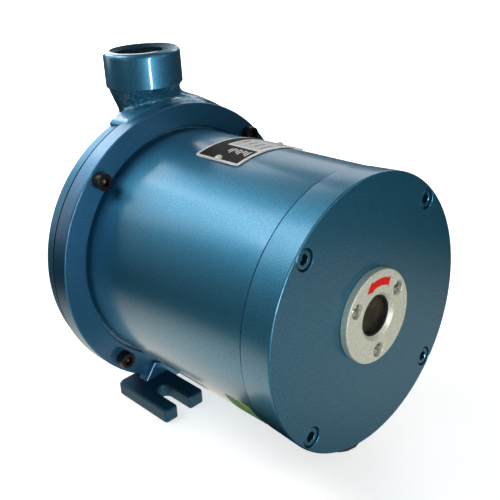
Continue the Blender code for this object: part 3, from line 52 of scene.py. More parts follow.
UP = Vector((0, 0, 1))
QUARTERS = (45, 135, 225, 315)
SMOOTH = math.radians(32)

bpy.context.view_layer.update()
cover_low, cover_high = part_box("rear_cover")
SHAFT_PLACE = Vector(((cover_low.x + cover_high.x) / 2, cover_low.y, (cover_low.z + cover_high.z) / 2))


def spot(x, y, z):
    return SHAFT_PLACE + Vector((x, y, z)) * MM


def round_size(node):
    """Return a round node's radius, start and end along the shaft, in millimetres."""
    low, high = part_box(node)
    return ((high.x - low.x) / 2 / MM, (low.y - SHAFT_PLACE.y) / MM, (high.y - SHAFT_PLACE.y) / MM)


# Sizes read from the frame
COVER_RADIUS = round_size("rear_cover")[0]
COVER_END = round_size("rear_cover")[2]
HOUSING_RADIUS, HOUSING_START, HOUSING_END = round_size("stator_housing")
GASKET_RADIUS, GASKET_START, GASKET_END = round_size("casing_gasket")
SIGHT_RADIUS, SIGHT_FACE, SIGHT_BACK = round_size("sight_flange")
GLASS_RADIUS, GLASS_START, GLASS_END = round_size("sight_glass")
flange_low, flange_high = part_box("adapter_flange")
GROUND = (flange_low.z - SHAFT_PLACE.z) / MM
FLANGE_RADIUS = (flange_high.z - SHAFT_PLACE.z) / MM
FLANGE_END = (flange_high.y - SHAFT_PLACE.y) / MM
casing_low, casing_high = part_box("pump_casing")
CASING_START = (casing_low.y - SHAFT_PLACE.y) / MM
PORT_FACE = (casing_high.y - SHAFT_PLACE.y) / MM
OUTLET_HEIGHT = (casing_high.z - SHAFT_PLACE.z) / MM

# Sizes of the pump that the boxes don't give
COVER_RIM_RADIUS = 73.9
COVER_DEPTH = 20
HOUSING_BORE = 63
FLANGE_FACE = 147.75
GROOVE_RADIUS = 75.2
GROOVE_FLOOR = 154
CASING_RADIUS = 89.4
CASING_RIM_RADIUS = 86.3
CASING_RIM_END = 171.45
OUTLET_AXIS = 175.3
FOOT_OUTER = 57.5
FOOT_HEIGHT = 9
COVER_SCREW_CIRCLE = 68.35
COVER_SCREW_SUNK = 0.7
FLANGE_SCREW_CIRCLE = 82.5
FLANGE_SCREW_PROUD = 6.3
BOSS_RADIUS = 23.75
BOSS_LENGTH = 22.5
THREAD_RADIUS = 16.6
THREAD_LENGTH = 19
MOUTH_RADIUS = 19.2
MOUTH_DEPTH = 2.2
THREAD_PITCH = 2.309


def bare():
    bpy.ops.object.select_all(action="DESELECT")


def pick(made):
    bare()
    made.select_set(True)
    bpy.context.view_layer.objects.active = made


def edit(made):
    pick(made)
    bpy.ops.object.mode_set(mode="EDIT")
    bpy.ops.mesh.select_all(action="SELECT")


def settle(made, smooth=SMOOTH):
    """Put a piece's place into its mesh and shade its round faces smooth."""
    if bpy.context.mode != "OBJECT":
        bpy.ops.object.mode_set(mode="OBJECT")
    pick(made)
    bpy.ops.object.transform_apply(location=True, rotation=True, scale=True)
    bpy.ops.object.shade_smooth_by_angle(angle=smooth)
    return made


def first_point(name, place):
    """Start a piece from one point, for its outline to be drawn from."""
    bare()
    bpy.ops.mesh.primitive_plane_add(size=MM, location=place)
    made = bpy.context.object
    made.name = name
    edit(made)
    bpy.ops.mesh.merge(type="CENTER")
    return made


def draw_on(points):
    """Draw edges from the last point through the others."""
    for near, far in zip(points, points[1:]):
        bpy.ops.mesh.extrude_region_move(TRANSFORM_OT_translate={"value": far - near})
    bpy.ops.mesh.select_all(action="SELECT")


def close_up():
    bpy.ops.mesh.select_all(action="SELECT")
    bpy.ops.mesh.remove_doubles(threshold=1e-6)
    bpy.ops.mesh.normals_make_consistent(inside=False)


def turned(name, profile, centre=(0, 0, 0), axis=ALONG, out=UP, steps=128):
    """Spin a (radius, length) profile about an axis through a centre."""
    start = spot(*centre)
    points = [start + (out * radius + axis * length) * MM for radius, length in profile]
    made = first_point(name, points[0])
    draw_on(points)
    bpy.ops.mesh.spin(steps=steps, angle=math.tau, center=start, axis=axis)
    close_up()
    return settle(made)


def drawn(name, corners, push):
    """Fill an outline of corners and push it out along a vector."""
    points = [spot(*corner) for corner in corners]
    made = first_point(name, points[0])
    draw_on(points)
    bpy.ops.mesh.edge_face_add()
    bpy.ops.mesh.extrude_region_move(TRANSFORM_OT_translate={"value": Vector(push) * MM})
    close_up()
    return settle(made)


def prism(name, sides, radius, depth, place, axis=ALONG, turn=0.0):
    """Add a prism centred on a place, such as a drill or a hexagon key's socket."""
    bare()
    lean = UP.rotation_difference(axis).to_matrix() @ Matrix.Rotation(turn, 3, "Z")
    bpy.ops.mesh.primitive_cylinder_add(vertices=sides, radius=radius * MM, depth=depth * MM,
                                        location=spot(*place), rotation=lean.to_euler())
    made = bpy.context.object
    made.name = name
    return settle(made)


def apply(made, kind, **settings):
    """Add a modifier with its settings and apply it."""
    pick(made)
    change = made.modifiers.new(kind.lower(), kind)
    for setting, value in settings.items():
        setattr(change, setting, value)
    bpy.ops.object.modifier_apply(modifier=change.name)
    return made


def soften(made, width, segments=3, angle=35):
    apply(made, "BEVEL", width=width * MM, segments=segments, limit_method="ANGLE",
          angle_limit=math.radians(angle))
    return settle(made)


def combine(made, tools, operation):
    for tool in tools:
        apply(made, "BOOLEAN", operation=operation, solver="EXACT", object=tool)
        bpy.data.objects.remove(tool)
    return settle(made)


def carve(made, *tools):
    return combine(made, tools, "DIFFERENCE")


def weld(made, *tools):
    return combine(made, tools, "UNION")


def arc(centre, radius, first, last, steps=8):
    """Return points on an arc, with angles in degrees."""
    points = []
    for index in range(steps + 1):
        angle = math.radians(first + (last - first) * index / steps)
        points.append((centre[0] + radius * math.cos(angle), centre[1] + radius * math.sin(angle)))
    return points


def on_circle(radius, angle, y=0.0):
    """Return a place round the shaft; angles go from +X towards +Z."""
    turn = math.radians(angle)
    return Vector((radius * math.cos(turn), y, radius * math.sin(turn)))


# Finishes
def new_finish(name, colour, metallic=0.0, roughness=0.5, **sockets):
    """Start a material with plain values on the shader's own sockets."""
    finish = bpy.data.materials.new(name)
    finish.use_nodes = True
    surface = finish.node_tree.nodes["Principled BSDF"]
    surface.inputs["Base Color"].default_value = (*colour, 1)
    surface.inputs["Metallic"].default_value = metallic
    surface.inputs["Roughness"].default_value = roughness
    for socket, value in sockets.items():
        surface.inputs[socket.replace("_", " ")].default_value = value
    return finish


def noise(finish, scale, detail=3.0, stretch=(1, 1, 1)):
    """Add a noise on the object's own coordinates; scale counts features per metre."""
    tree = finish.node_tree
    where = tree.nodes.new("ShaderNodeTexCoord")
    fit = tree.nodes.new("ShaderNodeMapping")
    fit.inputs["Scale"].default_value = stretch
    cloud = tree.nodes.new("ShaderNodeTexNoise")
    cloud.inputs["Scale"].default_value = scale
    cloud.inputs["Detail"].default_value = detail
    tree.links.new(where.outputs["Object"], fit.inputs["Vector"])
    tree.links.new(fit.outputs["Vector"], cloud.inputs["Vector"])
    return cloud


def mottle(finish, scale, darker, lighter):
    """Vary the colour between two tones."""
    tree = finish.node_tree
    cloud = noise(finish, scale, 4)
    tones = tree.nodes.new("ShaderNodeValToRGB")
    for stop, place, tone in zip(tones.color_ramp.elements, (0.35, 0.65), (darker, lighter)):
        stop.position = place
        stop.color = (*tone, 1)
    tree.links.new(cloud.outputs["Fac"], tones.inputs["Fac"])
    tree.links.new(tones.outputs["Color"], tree.nodes["Principled BSDF"].inputs["Base Color"])
    return finish


def vary_gloss(finish, scale, low, high):
    """Vary the roughness between two values."""
    tree = finish.node_tree
    cloud = noise(finish, scale)
    span = tree.nodes.new("ShaderNodeMapRange")
    span.inputs["From Min"].default_value = 0.3
    span.inputs["From Max"].default_value = 0.7
    span.inputs["To Min"].default_value = low
    span.inputs["To Max"].default_value = high
    tree.links.new(cloud.outputs["Fac"], span.inputs["Value"])
    tree.links.new(span.outputs["Result"], tree.nodes["Principled BSDF"].inputs["Roughness"])
    return finish


def roughen(finish, scale, height, detail=3.0, stretch=(1, 1, 1)):
    """Add relief of a height in millimetres; calls after the first build on it."""
    tree = finish.node_tree
    cloud = noise(finish, scale, detail, stretch)
    relief = tree.nodes.new("ShaderNodeBump")
    relief.inputs["Distance"].default_value = height * MM
    normal = tree.nodes["Principled BSDF"].inputs["Normal"]
    if normal.is_linked:
        tree.links.new(normal.links[0].from_socket, relief.inputs["Normal"])
    tree.links.new(cloud.outputs["Fac"], relief.inputs["Height"])
    tree.links.new(relief.outputs["Normal"], normal)
    return finish


def finish_of(name, colour, metallic, roughness, tones, relief=None, gloss=None, **sockets):
    """Return a finish with two tones and, where given, a relief and a range of roughness."""
    finish = new_finish(name, colour, metallic, roughness, **sockets)
    for add, values in ((mottle, tones), (roughen, relief), (vary_gloss, gloss)):
        if values:
            add(finish, *values)
    return finish


ENAMEL_DARK = (0.028, 0.172, 0.282)
ENAMEL_LIGHT = (0.045, 0.264, 0.432)


def enamel(name, grain, grain_scale, roughness=0.48, gloss=0.2, coat=1.0, tint=(1, 1, 1)):
    """Return the blue metallic enamel under its clear coat, over a smooth or a cast surface."""
    darker, lighter = [[part * share for part, share in zip(tone, tint)]
                       for tone in (ENAMEL_DARK, ENAMEL_LIGHT)]
    finish = new_finish(name, lighter, metallic=0.9, roughness=roughness, Coat_Weight=coat,
                        Coat_Roughness=gloss)
    mottle(finish, 1500, darker, lighter)
    vary_gloss(finish, 900, roughness - 0.03, roughness + 0.03)
    roughen(finish, grain_scale, grain)
    return roughen(finish, 3500, 0.006, 1)


finishes = {
    "housing": enamel("smooth blue enamel", 0.008, 500),
    "cover": enamel("grained blue enamel", 0.012, 1500, 0.5),
    "flange": enamel("machined casting in blue enamel", 0.014, 1200, 0.46, 0.24, 0.8, (0.86, 0.75, 0.86)),
    "rim": enamel("turned rim in blue enamel", 0.03, 900, 0.52, 0.3, 0.3, (0.9, 0.9, 0.95)),
    "boss": enamel("turned boss in blue enamel", 0.012, 700, 0.5, 0.13, 1.0, (1.3, 1.0, 1.0)),
    # Painted shade inside the ports: a darker copy of the enamel for the bores, mouths and threads.
    "bore": enamel("enamel with painted shade in the port", 0.03, 900, 0.6, 0.4, 0.1, (0.5, 0.3, 0.24)),
    "casting": roughen(enamel("rough casting in blue enamel", 1.1, 420, 0.48, 0.13, 1.0, (1.3, 1.05, 1.0)),
                       1100, 0.45),
    # Painted shade on the feet: a darker copy of the enamel stands in for the shade under the housing.
    "foot": enamel("enamel with painted shade on the feet", 0.014, 1200, 0.6, 0.35, 0.15, (0.36, 0.33, 0.34)),
    # Painted shade in the key sockets: a darker copy of the enamel for their inner faces.
    "socket": enamel("enamel with painted shade in the key sockets", 0.03, 800, 0.6, 0.4, 0.1, (0.3, 0.28, 0.26)),
    "blue screw": enamel("blue screw paint", 0.02, 800, 0.4),
    "black oxide": finish_of("black oxide", (0.014, 0.012, 0.01), 0.6, 0.4,
                             tones=(800, (0.01, 0.009, 0.008), (0.024, 0.02, 0.015)),
                             relief=(2500, 0.01), gloss=(900, 0.28, 0.45)),
    "aluminium": finish_of("turned aluminium", (0.76, 0.8, 0.67), 0.4, 0.5,
                           tones=(1200, (0.6, 0.64, 0.52), (0.86, 0.9, 0.76)),
                           relief=(2600, 0.012), gloss=(1500, 0.42, 0.56)),
    "plate": finish_of("nameplate sheet", (0.8, 0.82, 0.81), 0.1, 0.45,
                       tones=(300, (0.76, 0.78, 0.77), (0.86, 0.88, 0.87)), gloss=(400, 0.38, 0.5)),
    "plate field": finish_of("printed grey field", (0.6, 0.62, 0.61), 0.1, 0.5,
                             tones=(2400, (0.42, 0.44, 0.43), (0.72, 0.74, 0.73)),
                             gloss=(400, 0.42, 0.55)),
    "stainless": finish_of("turned stainless", (0.72, 0.73, 0.68), 1.0, 0.25,
                           tones=(600, (0.64, 0.65, 0.6), (0.78, 0.79, 0.74)),
                           relief=(2600, 0.008), gloss=(500, 0.2, 0.32)),
    "laminations": finish_of("laminated steel", (0.3, 0.31, 0.33), 0.9, 0.5,
                             tones=(900, (0.24, 0.25, 0.27), (0.34, 0.35, 0.37)),
                             relief=(2000, 0.02, 2, (0.05, 1, 0.05))),
    "graphite": finish_of("carbon graphite", (0.045, 0.045, 0.05), 0.1, 0.45,
                          tones=(700, (0.035, 0.035, 0.04), (0.06, 0.06, 0.065)),
                          gloss=(800, 0.38, 0.55)),
    "rubber": finish_of("black rubber", (0.018, 0.018, 0.019), 0.0, 0.6,
                        tones=(400, (0.012, 0.012, 0.013), (0.026, 0.026, 0.027)),
                        relief=(1500, 0.03), gloss=(500, 0.5, 0.75)),
    "gasket": finish_of("fibre gasket", (0.012, 0.01, 0.006), 0.0, 0.9,
                        tones=(700, (0.006, 0.005, 0.003), (0.03, 0.024, 0.013)),
                        relief=(1200, 0.04), Specular_IOR_Level=0.1),
    "copper": finish_of("varnished copper wire", (0.45, 0.17, 0.06), 0.8, 0.3,
                        tones=(500, (0.36, 0.12, 0.04), (0.52, 0.21, 0.08)), gloss=(600, 0.22, 0.4)),
    "bronze": finish_of("cast bronze", (0.5, 0.32, 0.14), 0.95, 0.4,
                        tones=(400, (0.4, 0.25, 0.1), (0.56, 0.38, 0.18)), relief=(1200, 0.03)),
    "glass": finish_of("sight glass", (0.018, 0.016, 0.009), 0.0, 0.25,
                       tones=(130, (0.008, 0.008, 0.004), (0.04, 0.034, 0.018)),
                       gloss=(150, 0.2, 0.32), Specular_IOR_Level=0.25),
    "nylon": finish_of("black nylon", (0.025, 0.025, 0.028), 0.0, 0.5,
                       tones=(300, (0.02, 0.02, 0.022), (0.032, 0.032, 0.035)), relief=(1800, 0.02)),
    "cream": finish_of("cream thermoset", (0.66, 0.6, 0.47), 0.0, 0.5,
                       tones=(250, (0.6, 0.54, 0.42), (0.7, 0.64, 0.51)), relief=(1500, 0.02)),
    "red": finish_of("red paint", (0.74, 0.018, 0.012), 0.0, 0.5,
                     tones=(600, (0.68, 0.014, 0.009), (0.8, 0.024, 0.016)),
                     gloss=(500, 0.45, 0.6), Specular_IOR_Level=0.15),
    "label": finish_of("green label film", (0.22, 0.52, 0.1), 0.0, 0.6,
                       tones=(90, (0.16, 0.6, 0.2), (0.6, 0.85, 0.25)),
                       gloss=(300, 0.5, 0.65), Specular_IOR_Level=0.2),
    "ink": finish_of("black ink", (0.012, 0.012, 0.013), 0.0, 0.6,
                     tones=(500, (0.008, 0.008, 0.009), (0.02, 0.02, 0.021)),
                     gloss=(500, 0.55, 0.7), Specular_IOR_Level=0.15),
}

SLOT_FINISHES = {
    "blue_enamel": "flange", "blue_screw_finish": "blue screw", "black_oxide_steel": "black oxide",
    "bare_aluminium": "aluminium", "nameplate_aluminium": "plate", "stainless_steel": "stainless",
    "electrical_steel": "laminations", "carbon_graphite": "graphite", "black_rubber": "rubber",
    "gasket_sheet": "gasket", "enamelled_copper": "copper", "bronze": "bronze", "sight_glass": "glass",
    "black_plastic": "nylon", "cream_plastic": "cream",
}
NODE_SLOTS = {part["node"]: part["material_slot"] for part in frame["record"]["subparts"]}
MOST_FACES_TO_EVEN = 30000


def even_shading(made):
    """Shade flat faces flat beside their rounded edges."""
    apply(made, "WEIGHTED_NORMAL", keep_sharp=True, weight=100)


def dress(made, finish_name):
    made.data.materials.clear()
    made.data.materials.append(finishes[finish_name])


def fit(made, finish_name, slot, *nodes):
    """Give a piece its finish, let it ride with the pump and stand for nodes."""
    if len(made.data.polygons) < MOST_FACES_TO_EVEN:
        even_shading(made)
    dress(made, finish_name)
    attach(made, "pump")
    if nodes:
        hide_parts(*nodes)
    return made


def paint_faces(made, finish_name, chosen):
    """Give another finish to the faces that a test picks by their middles, in millimetres."""
    made.data.materials.append(finishes[finish_name])
    index = len(made.data.materials) - 1
    for face in made.data.polygons:
        if chosen(*(face.center - SHAFT_PLACE) / MM):
            face.material_index = index


def dress_nodes():
    for name, node in frame["nodes"].items():
        dress(node, SLOT_FINISHES[NODE_SLOTS[name]])


# Motor housing and rear cover
def make_housing():
    edge = 0.5
    bore = HOUSING_BORE
    profile = [(bore, HOUSING_START), (HOUSING_RADIUS - edge, HOUSING_START)]
    profile += arc((HOUSING_RADIUS - edge, HOUSING_START + edge), edge, -90, 0, 3)[1:]
    profile += [(HOUSING_RADIUS, HOUSING_END), (bore, HOUSING_END), (bore, HOUSING_START)]
    fit(turned("motor_tube", profile, steps=192), "housing", "blue_enamel", "stator_housing")


def sunk_hole(name, place, radius, depth, chamfer, face=0.0, steps=48):
    """Return a cutter for a flat-bottomed hole with a broken edge."""
    profile = [(0, depth), (radius, depth), (radius, chamfer), (radius + 2 * chamfer, -chamfer),
               (radius + 2 * chamfer, -4), (0, -4)]
    return turned(name, [(r, face + length) for r, length in profile], place, steps=steps)


def make_cover():
    """Make the end cover, with counterbores for its sunk screws and the seat of the sight glass."""
    edge = 0.9
    seat = GLASS_RADIUS + 0.3
    bore = 11
    spigot = HOUSING_BORE - 0.3
    profile = [(seat, 0), (COVER_RADIUS - edge, 0)]
    profile += arc((COVER_RADIUS - edge, edge), edge, -90, 0, 5)[1:]
    rim = COVER_RIM_RADIUS
    profile += [(rim + 0.02, COVER_DEPTH - 0.4), (rim - 0.4, COVER_DEPTH), (spigot, COVER_DEPTH),
                (spigot, COVER_END), (bore, COVER_END), (bore, GLASS_END + 1.8),
                (seat, GLASS_END + 1.8), (seat, 0)]
    cover = turned("end_cover", profile, steps=192)
    hole_radius, hole_depth, broken_edge = 5.6, 7, 0.25
    cutters = [sunk_hole("counterbore", on_circle(COVER_SCREW_CIRCLE, angle), hole_radius, hole_depth,
                         broken_edge) for angle in QUARTERS]
    carve(cover, *cutters)
    fit(cover, "cover", "blue_enamel", "rear_cover")


def socket_head(name, place, head=5.0, height=6.0, flats=2.5, depth=3.2, face=0.0, shank=10.0):
    """Return a socket head screw, with its head's face towards the rear."""
    round_edge = 0.7
    profile = [(0, 0), (head - round_edge, 0)]
    profile += arc((head - round_edge, round_edge), round_edge, -90, 0, 4)[1:]
    profile += [(head, height - 0.2), (head - 0.2, height), (3, height), (3, height + shank),
                (0, height + shank)]
    profile = [(r, face + length) for r, length in profile]
    screw = turned(name, profile, place, steps=48)
    corner = flats / math.cos(math.radians(30))
    socket = prism("key_socket", 6, corner, 2 * depth, Vector(place) + ALONG * face, turn=0.35)
    mouth = turned("socket_mouth", [(0, 0.5), (flats - 0.1, 0.5), (corner + 0.35, -0.3),
                                    (0, -0.3)], Vector(place) + ALONG * face, steps=24)
    drill_point = turned("drill_point", [(0, depth + 1.3), (flats - 0.1, depth), (flats - 0.1, depth - 0.5),
                                         (0, depth - 0.5)], Vector(place) + ALONG * face, steps=24)
    return carve(screw, socket, mouth, drill_point)


def make_cover_screws():
    """Make the painted screws of the cover, with painted shade, a darker enamel, in their key sockets."""
    socket_reach, socket_start, socket_end = 2.9, 1, 6
    for number, angle in enumerate(QUARTERS, 1):
        place = on_circle(COVER_SCREW_CIRCLE, angle)
        screw = socket_head(f"cover_bolt_{number}", place, face=COVER_SCREW_SUNK)
        fit(screw, "blue screw", "blue_screw_finish", f"cover_screw_{number}")
        # Painted shade: the faces inside each key socket get the darker enamel.
        paint_faces(screw, "socket", lambda x, y, z, at=place: socket_start < y < socket_end
                    and math.hypot(x - at.x, z - at.z) < socket_reach)


def make_flange_screws():
    for number, angle in enumerate(QUARTERS, 1):
        place = on_circle(FLANGE_SCREW_CIRCLE, angle)
        screw = socket_head(f"flange_bolt_{number}", place, face=FLANGE_FACE - FLANGE_SCREW_PROUD)
        fit(screw, "black oxide", "black_oxide_steel", f"casing_screw_{number}")


# Sight flange, its glass and screws, and the arrow that shows the rotor's direction
SIGHT_OPENING = 11.25
SIGHT_CHAMFER = 1.9
SIGHT_LIP = 0.8
SIGHT_SCREW_CIRCLE = 19.5
SIGHT_SCREW_ANGLES = (30, 150, 270)


def make_sight_ring():
    """Make the aluminium ring, with its chamfered opening and a recess for each screw."""
    edge = 0.7
    recess_radius, recess_depth, broken_edge = 4, 3, 0.2
    face = SIGHT_FACE
    profile = [(SIGHT_OPENING, SIGHT_BACK), (SIGHT_OPENING, face + SIGHT_CHAMFER),
               (SIGHT_OPENING + SIGHT_CHAMFER, face), (SIGHT_RADIUS - edge, face)]
    profile += arc((SIGHT_RADIUS - edge, face + edge), edge, -90, 0, 4)[1:]
    profile += [(SIGHT_RADIUS, SIGHT_BACK), (SIGHT_OPENING, SIGHT_BACK)]
    ring = turned("sight_ring", profile, steps=128)
    recesses = [sunk_hole("recess", on_circle(SIGHT_SCREW_CIRCLE, angle), recess_radius, recess_depth,
                          broken_edge, face) for angle in SIGHT_SCREW_ANGLES]
    carve(ring, *recesses)
    fit(ring, "aluminium", "bare_aluminium", "sight_flange")


def make_sight_screws():
    """Make the domed slotted screws, each with its slot turned another way."""
    head, sunk, slot_half, slot_middle = 3.5, 0.2, 0.7, 0.7
    dome = [(0, 0), (1.2, 0.06), (2.2, 0.3), (head - 0.3, 0.8), (head, 1.2), (head, 2.3), (0, 2.3)]
    profile = [(radius, SIGHT_FACE + sunk + depth) for radius, depth in dome]
    for number, angle in enumerate(SIGHT_SCREW_ANGLES, 1):
        place = on_circle(SIGHT_SCREW_CIRCLE, angle)
        screw = turned(f"sight_bolt_{number}", profile, place, steps=40)
        slot = prism("slot", 4, slot_half * math.sqrt(2), 10, place + ALONG * (SIGHT_FACE + slot_middle),
                     on_circle(1, 25 * number + 20), math.radians(45))
        carve(screw, slot)
        fit(screw, "stainless", "stainless_steel", f"sight_screw_{number}")


def make_sight_glass():
    """Make the window, and a thin black ring that lines the opening's wall in front of it."""
    glass = turned("sight_window", [(0, GLASS_START), (GLASS_RADIUS - 0.4, GLASS_START),
                                    (GLASS_RADIUS, GLASS_START + 0.4), (GLASS_RADIUS, GLASS_END),
                                    (0, GLASS_END)], steps=96)
    fit(glass, "glass", "sight_glass", "sight_glass")
    outside = SIGHT_OPENING - 0.05
    inside = SIGHT_OPENING - SIGHT_LIP
    start = SIGHT_FACE + SIGHT_CHAMFER + 0.15
    end = GLASS_START - 0.05
    lip = turned("sight_lip", [(outside, start), (outside, end), (inside, end), (inside, start + 0.2),
                               (SIGHT_OPENING - 0.3, start), (outside, start)], steps=96)
    fit(lip, "rubber", "black_rubber")


def make_arrow():
    """Make the painted arrow as a thin skin on the sight flange's face."""
    shape = [on_circle(21.7, 60)]
    shape += [on_circle(21.0, angle) for angle in range(64, 101, 4)]
    shape += [on_circle(21.9, 104), on_circle(20.4, 110), on_circle(18.4, 118.5), on_circle(16.1, 107)]
    shape += [on_circle(16.9, angle) for angle in range(101, 63, -4)]
    shape += [on_circle(16.6, 59.5)]
    outline = [(p.x, SIGHT_FACE - 0.08, p.z) for p in shape]
    arrow = drawn("direction_arrow", outline, (0, 0.06, 0))
    fit(arrow, "red", "bare_aluminium")


# Adapter flange with its forked feet
def foot(name, side):
    """Return one forked foot; side is -1 on the left and 1 on the right."""
    inner, front, corner = 27.5, 110.3, 2.2
    slot_middle, slot_half, slot_end = 43.3, 4.7, 134
    small = 0.7 * corner
    plan = [(FOOT_OUTER, FLANGE_END - corner)]
    plan += arc((FOOT_OUTER - corner, front + corner), corner, 0, -90, 4)
    plan += arc((slot_middle + slot_half + small, front + small), small, 270, 180, 3)
    plan += arc((slot_middle, slot_end - slot_half), slot_half, 0, 180, 14)
    plan += arc((slot_middle - slot_half - small, front + small), small, 0, -90, 3)
    plan += arc((inner + corner, front + corner), corner, 270, 180, 4)
    plan += [(inner, FLANGE_END), (FOOT_OUTER - corner, FLANGE_END)]
    outline = [(side * x, y, GROUND) for x, y in plan]
    return soften(drawn(name, outline, (0, 0, FOOT_HEIGHT)), 1.2, 3, 60)


def foot_web(face):
    """Return the web that stands proud of the flange's lower half and runs down into the feet."""
    rim, top_half, foot_half, depth = 79.8, 37.1, 46.6, 8
    inside_foot = GROUND + FOOT_HEIGHT - 1
    bottom = 1 - FLANGE_RADIUS
    first = 180 + math.degrees(math.acos(top_half / rim))
    outline = [(x, face, z) for x, z in arc((0, 0), rim, first, 540 - first, 24)]
    outline += [(foot_half, face, inside_foot), (foot_half, face, bottom),
                (-foot_half, face, bottom), (-foot_half, face, inside_foot)]
    return soften(drawn("foot_web", outline, (0, depth, 0)), 1.0, 3, 50)


def make_adapter():
    """Join the turned flange, both feet and the web; the feet get painted shade, a darker enamel."""
    edge = 0.8
    register = HOUSING_BORE - 0.3
    profile = [(GROOVE_RADIUS + edge, FLANGE_FACE), (FLANGE_RADIUS - edge, FLANGE_FACE)]
    profile += arc((FLANGE_RADIUS - edge, FLANGE_FACE + edge), edge, -90, 0, 4)[1:]
    profile += [(FLANGE_RADIUS, FLANGE_END - 0.3), (FLANGE_RADIUS - 0.3, FLANGE_END),
                (50, FLANGE_END), (50, GROOVE_FLOOR), (register, GROOVE_FLOOR),
                (GROOVE_RADIUS, GROOVE_FLOOR)]
    profile += arc((GROOVE_RADIUS + edge, FLANGE_FACE + edge), edge, 180, 270, 4)
    flange = turned("adapter_ring", profile, steps=192)
    web_face = FLANGE_FACE - 3
    weld(flange, foot("left_foot", -1), foot("right_foot", 1), foot_web(web_face))
    fit(flange, "flange", "blue_enamel", "adapter_flange")
    # Painted shade: the feet's faces below the web's face get the darker enamel.
    paint_faces(flange, "foot", lambda x, y, z: y < web_face and z < GROUND + FOOT_HEIGHT + 0.1)


def make_gasket():
    bore, edge, spread = 72, GASKET_RADIUS - 0.15, 0.25
    first, last = GASKET_START - spread, GASKET_END + spread
    profile = [(bore, first), (edge, first), (edge, last), (bore, last), (bore, first)]
    fit(turned("paper_gasket", profile, steps=192), "gasket", "gasket_sheet", "casing_gasket")


# Pump casing: turned rim, cast volute and neck, and both threaded bosses
VOLUTE_START, VOLUTE_END, VOLUTE_WALL = 66, 87, 7
TONGUE, THROAT = 112, 90
BACK_WALL = 195.5


def spiral_reach(angle):
    """Return how far out the volute's outside lies at an angle in degrees."""
    past = (angle - THROAT) % 360
    step_back = TONGUE - THROAT
    share = 1 - past / step_back if past < step_back else (past - step_back) / (360 - step_back)
    return VOLUTE_START + (VOLUTE_END - VOLUTE_START) * share + VOLUTE_WALL


def volute_body():
    """Return the cast back: a turned form whose wall is then moved out to the spiral."""
    unit, flat_back = 80, 61
    profile = [(0, 162), (unit, 162), (unit, 183.5), (unit - 1, 187), (unit - 3.5, 190.5),
               (unit - 7, 193.2), (unit - 12, 194.8), (60, BACK_WALL), (40, BACK_WALL), (0, BACK_WALL)]
    body = turned("casting", profile, steps=144)
    centre = SHAFT_PLACE
    for point in body.data.vertices:
        x, z = point.co.x - centre.x, point.co.z - centre.z
        radius = math.hypot(x, z) / MM
        if radius > flat_back:
            angle = math.degrees(math.atan2(z, x))
            share = (spiral_reach(angle) - unit + radius) / radius
            point.co.x, point.co.z = centre.x + x * share, centre.z + z * share
    return body


def ring_line(height, left, right, front, back, steps=64):
    """Return an oval of points round the outlet's axis at a height."""
    points = []
    for index in range(steps):
        turn = math.tau * index / steps
        x, y = math.cos(turn), math.sin(turn)
        points.append(spot(x * (right if x > 0 else left), OUTLET_AXIS + y * (back if y > 0 else front),
                           height))
    return points


def lofted(name, rings):
    """Bridge rings of points and close the ends."""
    bare()
    bpy.ops.mesh.primitive_circle_add(vertices=len(rings[0]), radius=MM, location=(0, 0, 0))
    made = bpy.context.object
    made.name = name
    edit(made)
    for _ in rings[1:]:
        bpy.ops.mesh.primitive_circle_add(vertices=len(rings[0]), radius=MM, location=(0, 0, 0))
    bpy.ops.object.mode_set(mode="OBJECT")
    for vert, place in zip(made.data.vertices, [point for ring in rings for point in ring]):
        vert.co = place
    edit(made)
    bpy.ops.mesh.bridge_edge_loops()
    bpy.ops.mesh.select_all(action="DESELECT")
    bpy.ops.mesh.select_non_manifold()
    bpy.ops.mesh.edge_face_add()
    close_up()
    return settle(made)


def cast_neck():
    """Loft the neck from the boss down into the volute, narrowing on the tongue's side."""
    foot_height = OUTLET_HEIGHT - BOSS_LENGTH
    to_gasket = OUTLET_AXIS - CASING_START - 0.3
    behind = BACK_WALL - 3 - OUTLET_AXIS
    reach = VOLUTE_END + VOLUTE_WALL
    return lofted("neck", [
        ring_line(foot_height + 4, 21, 21, 21, 21),
        ring_line(foot_height + 0.4, 22.8, 22.6, 22.4, 22.6),
        ring_line(foot_height - 2, 22.3, 22.4, 20.2, 20.8),
        ring_line(foot_height - 5.5, 21.2, 23.5, 17.8, 19.4),
        ring_line(FLANGE_RADIUS + 0.6, 19.8, 28, 15.2, 18),
        ring_line(0.925 * reach, 18.6, 35, to_gasket, behind),
        ring_line(0.87 * reach, 17.4, 46, to_gasket, behind),
        ring_line(0.75 * reach, 17, 51, to_gasket, behind),
    ])


def cast_ledge():
    """Draw the neck's cast root, which stands proud of the rim and ends in a step on the left."""
    inner, proud, lead = 80, 90.5, 2.6
    crest = [on_circle(proud, angle) for angle in range(106, 74, -3)]
    fade = [on_circle(90.2, 71), on_circle(89.4, 66), on_circle(88.0, 60)]
    root = [on_circle(inner, angle) for angle in range(60, 112, 6)]
    step = [on_circle(88.2, 112), on_circle(90.1, 109)]
    outline = [(p.x, CASING_START + lead, p.z) for p in crest + fade + root + step]
    return drawn("ledge", outline, (0, CASING_RIM_END - CASING_START - lead + 0.5, 0))


def boss(name, centre, axis, out):
    """Return a round port boss that ends at length 0 of its axis."""
    edge = 3.2
    profile = [(0, -BOSS_LENGTH), (BOSS_RADIUS - 1.2, -BOSS_LENGTH), (BOSS_RADIUS, 1.2 - BOSS_LENGTH),
               (BOSS_RADIUS, -edge)]
    profile += arc((BOSS_RADIUS - edge, -edge), edge, 0, 90, 6)[1:]
    profile += [(0, 0)]
    return turned(name, profile, centre, axis, out, 128)


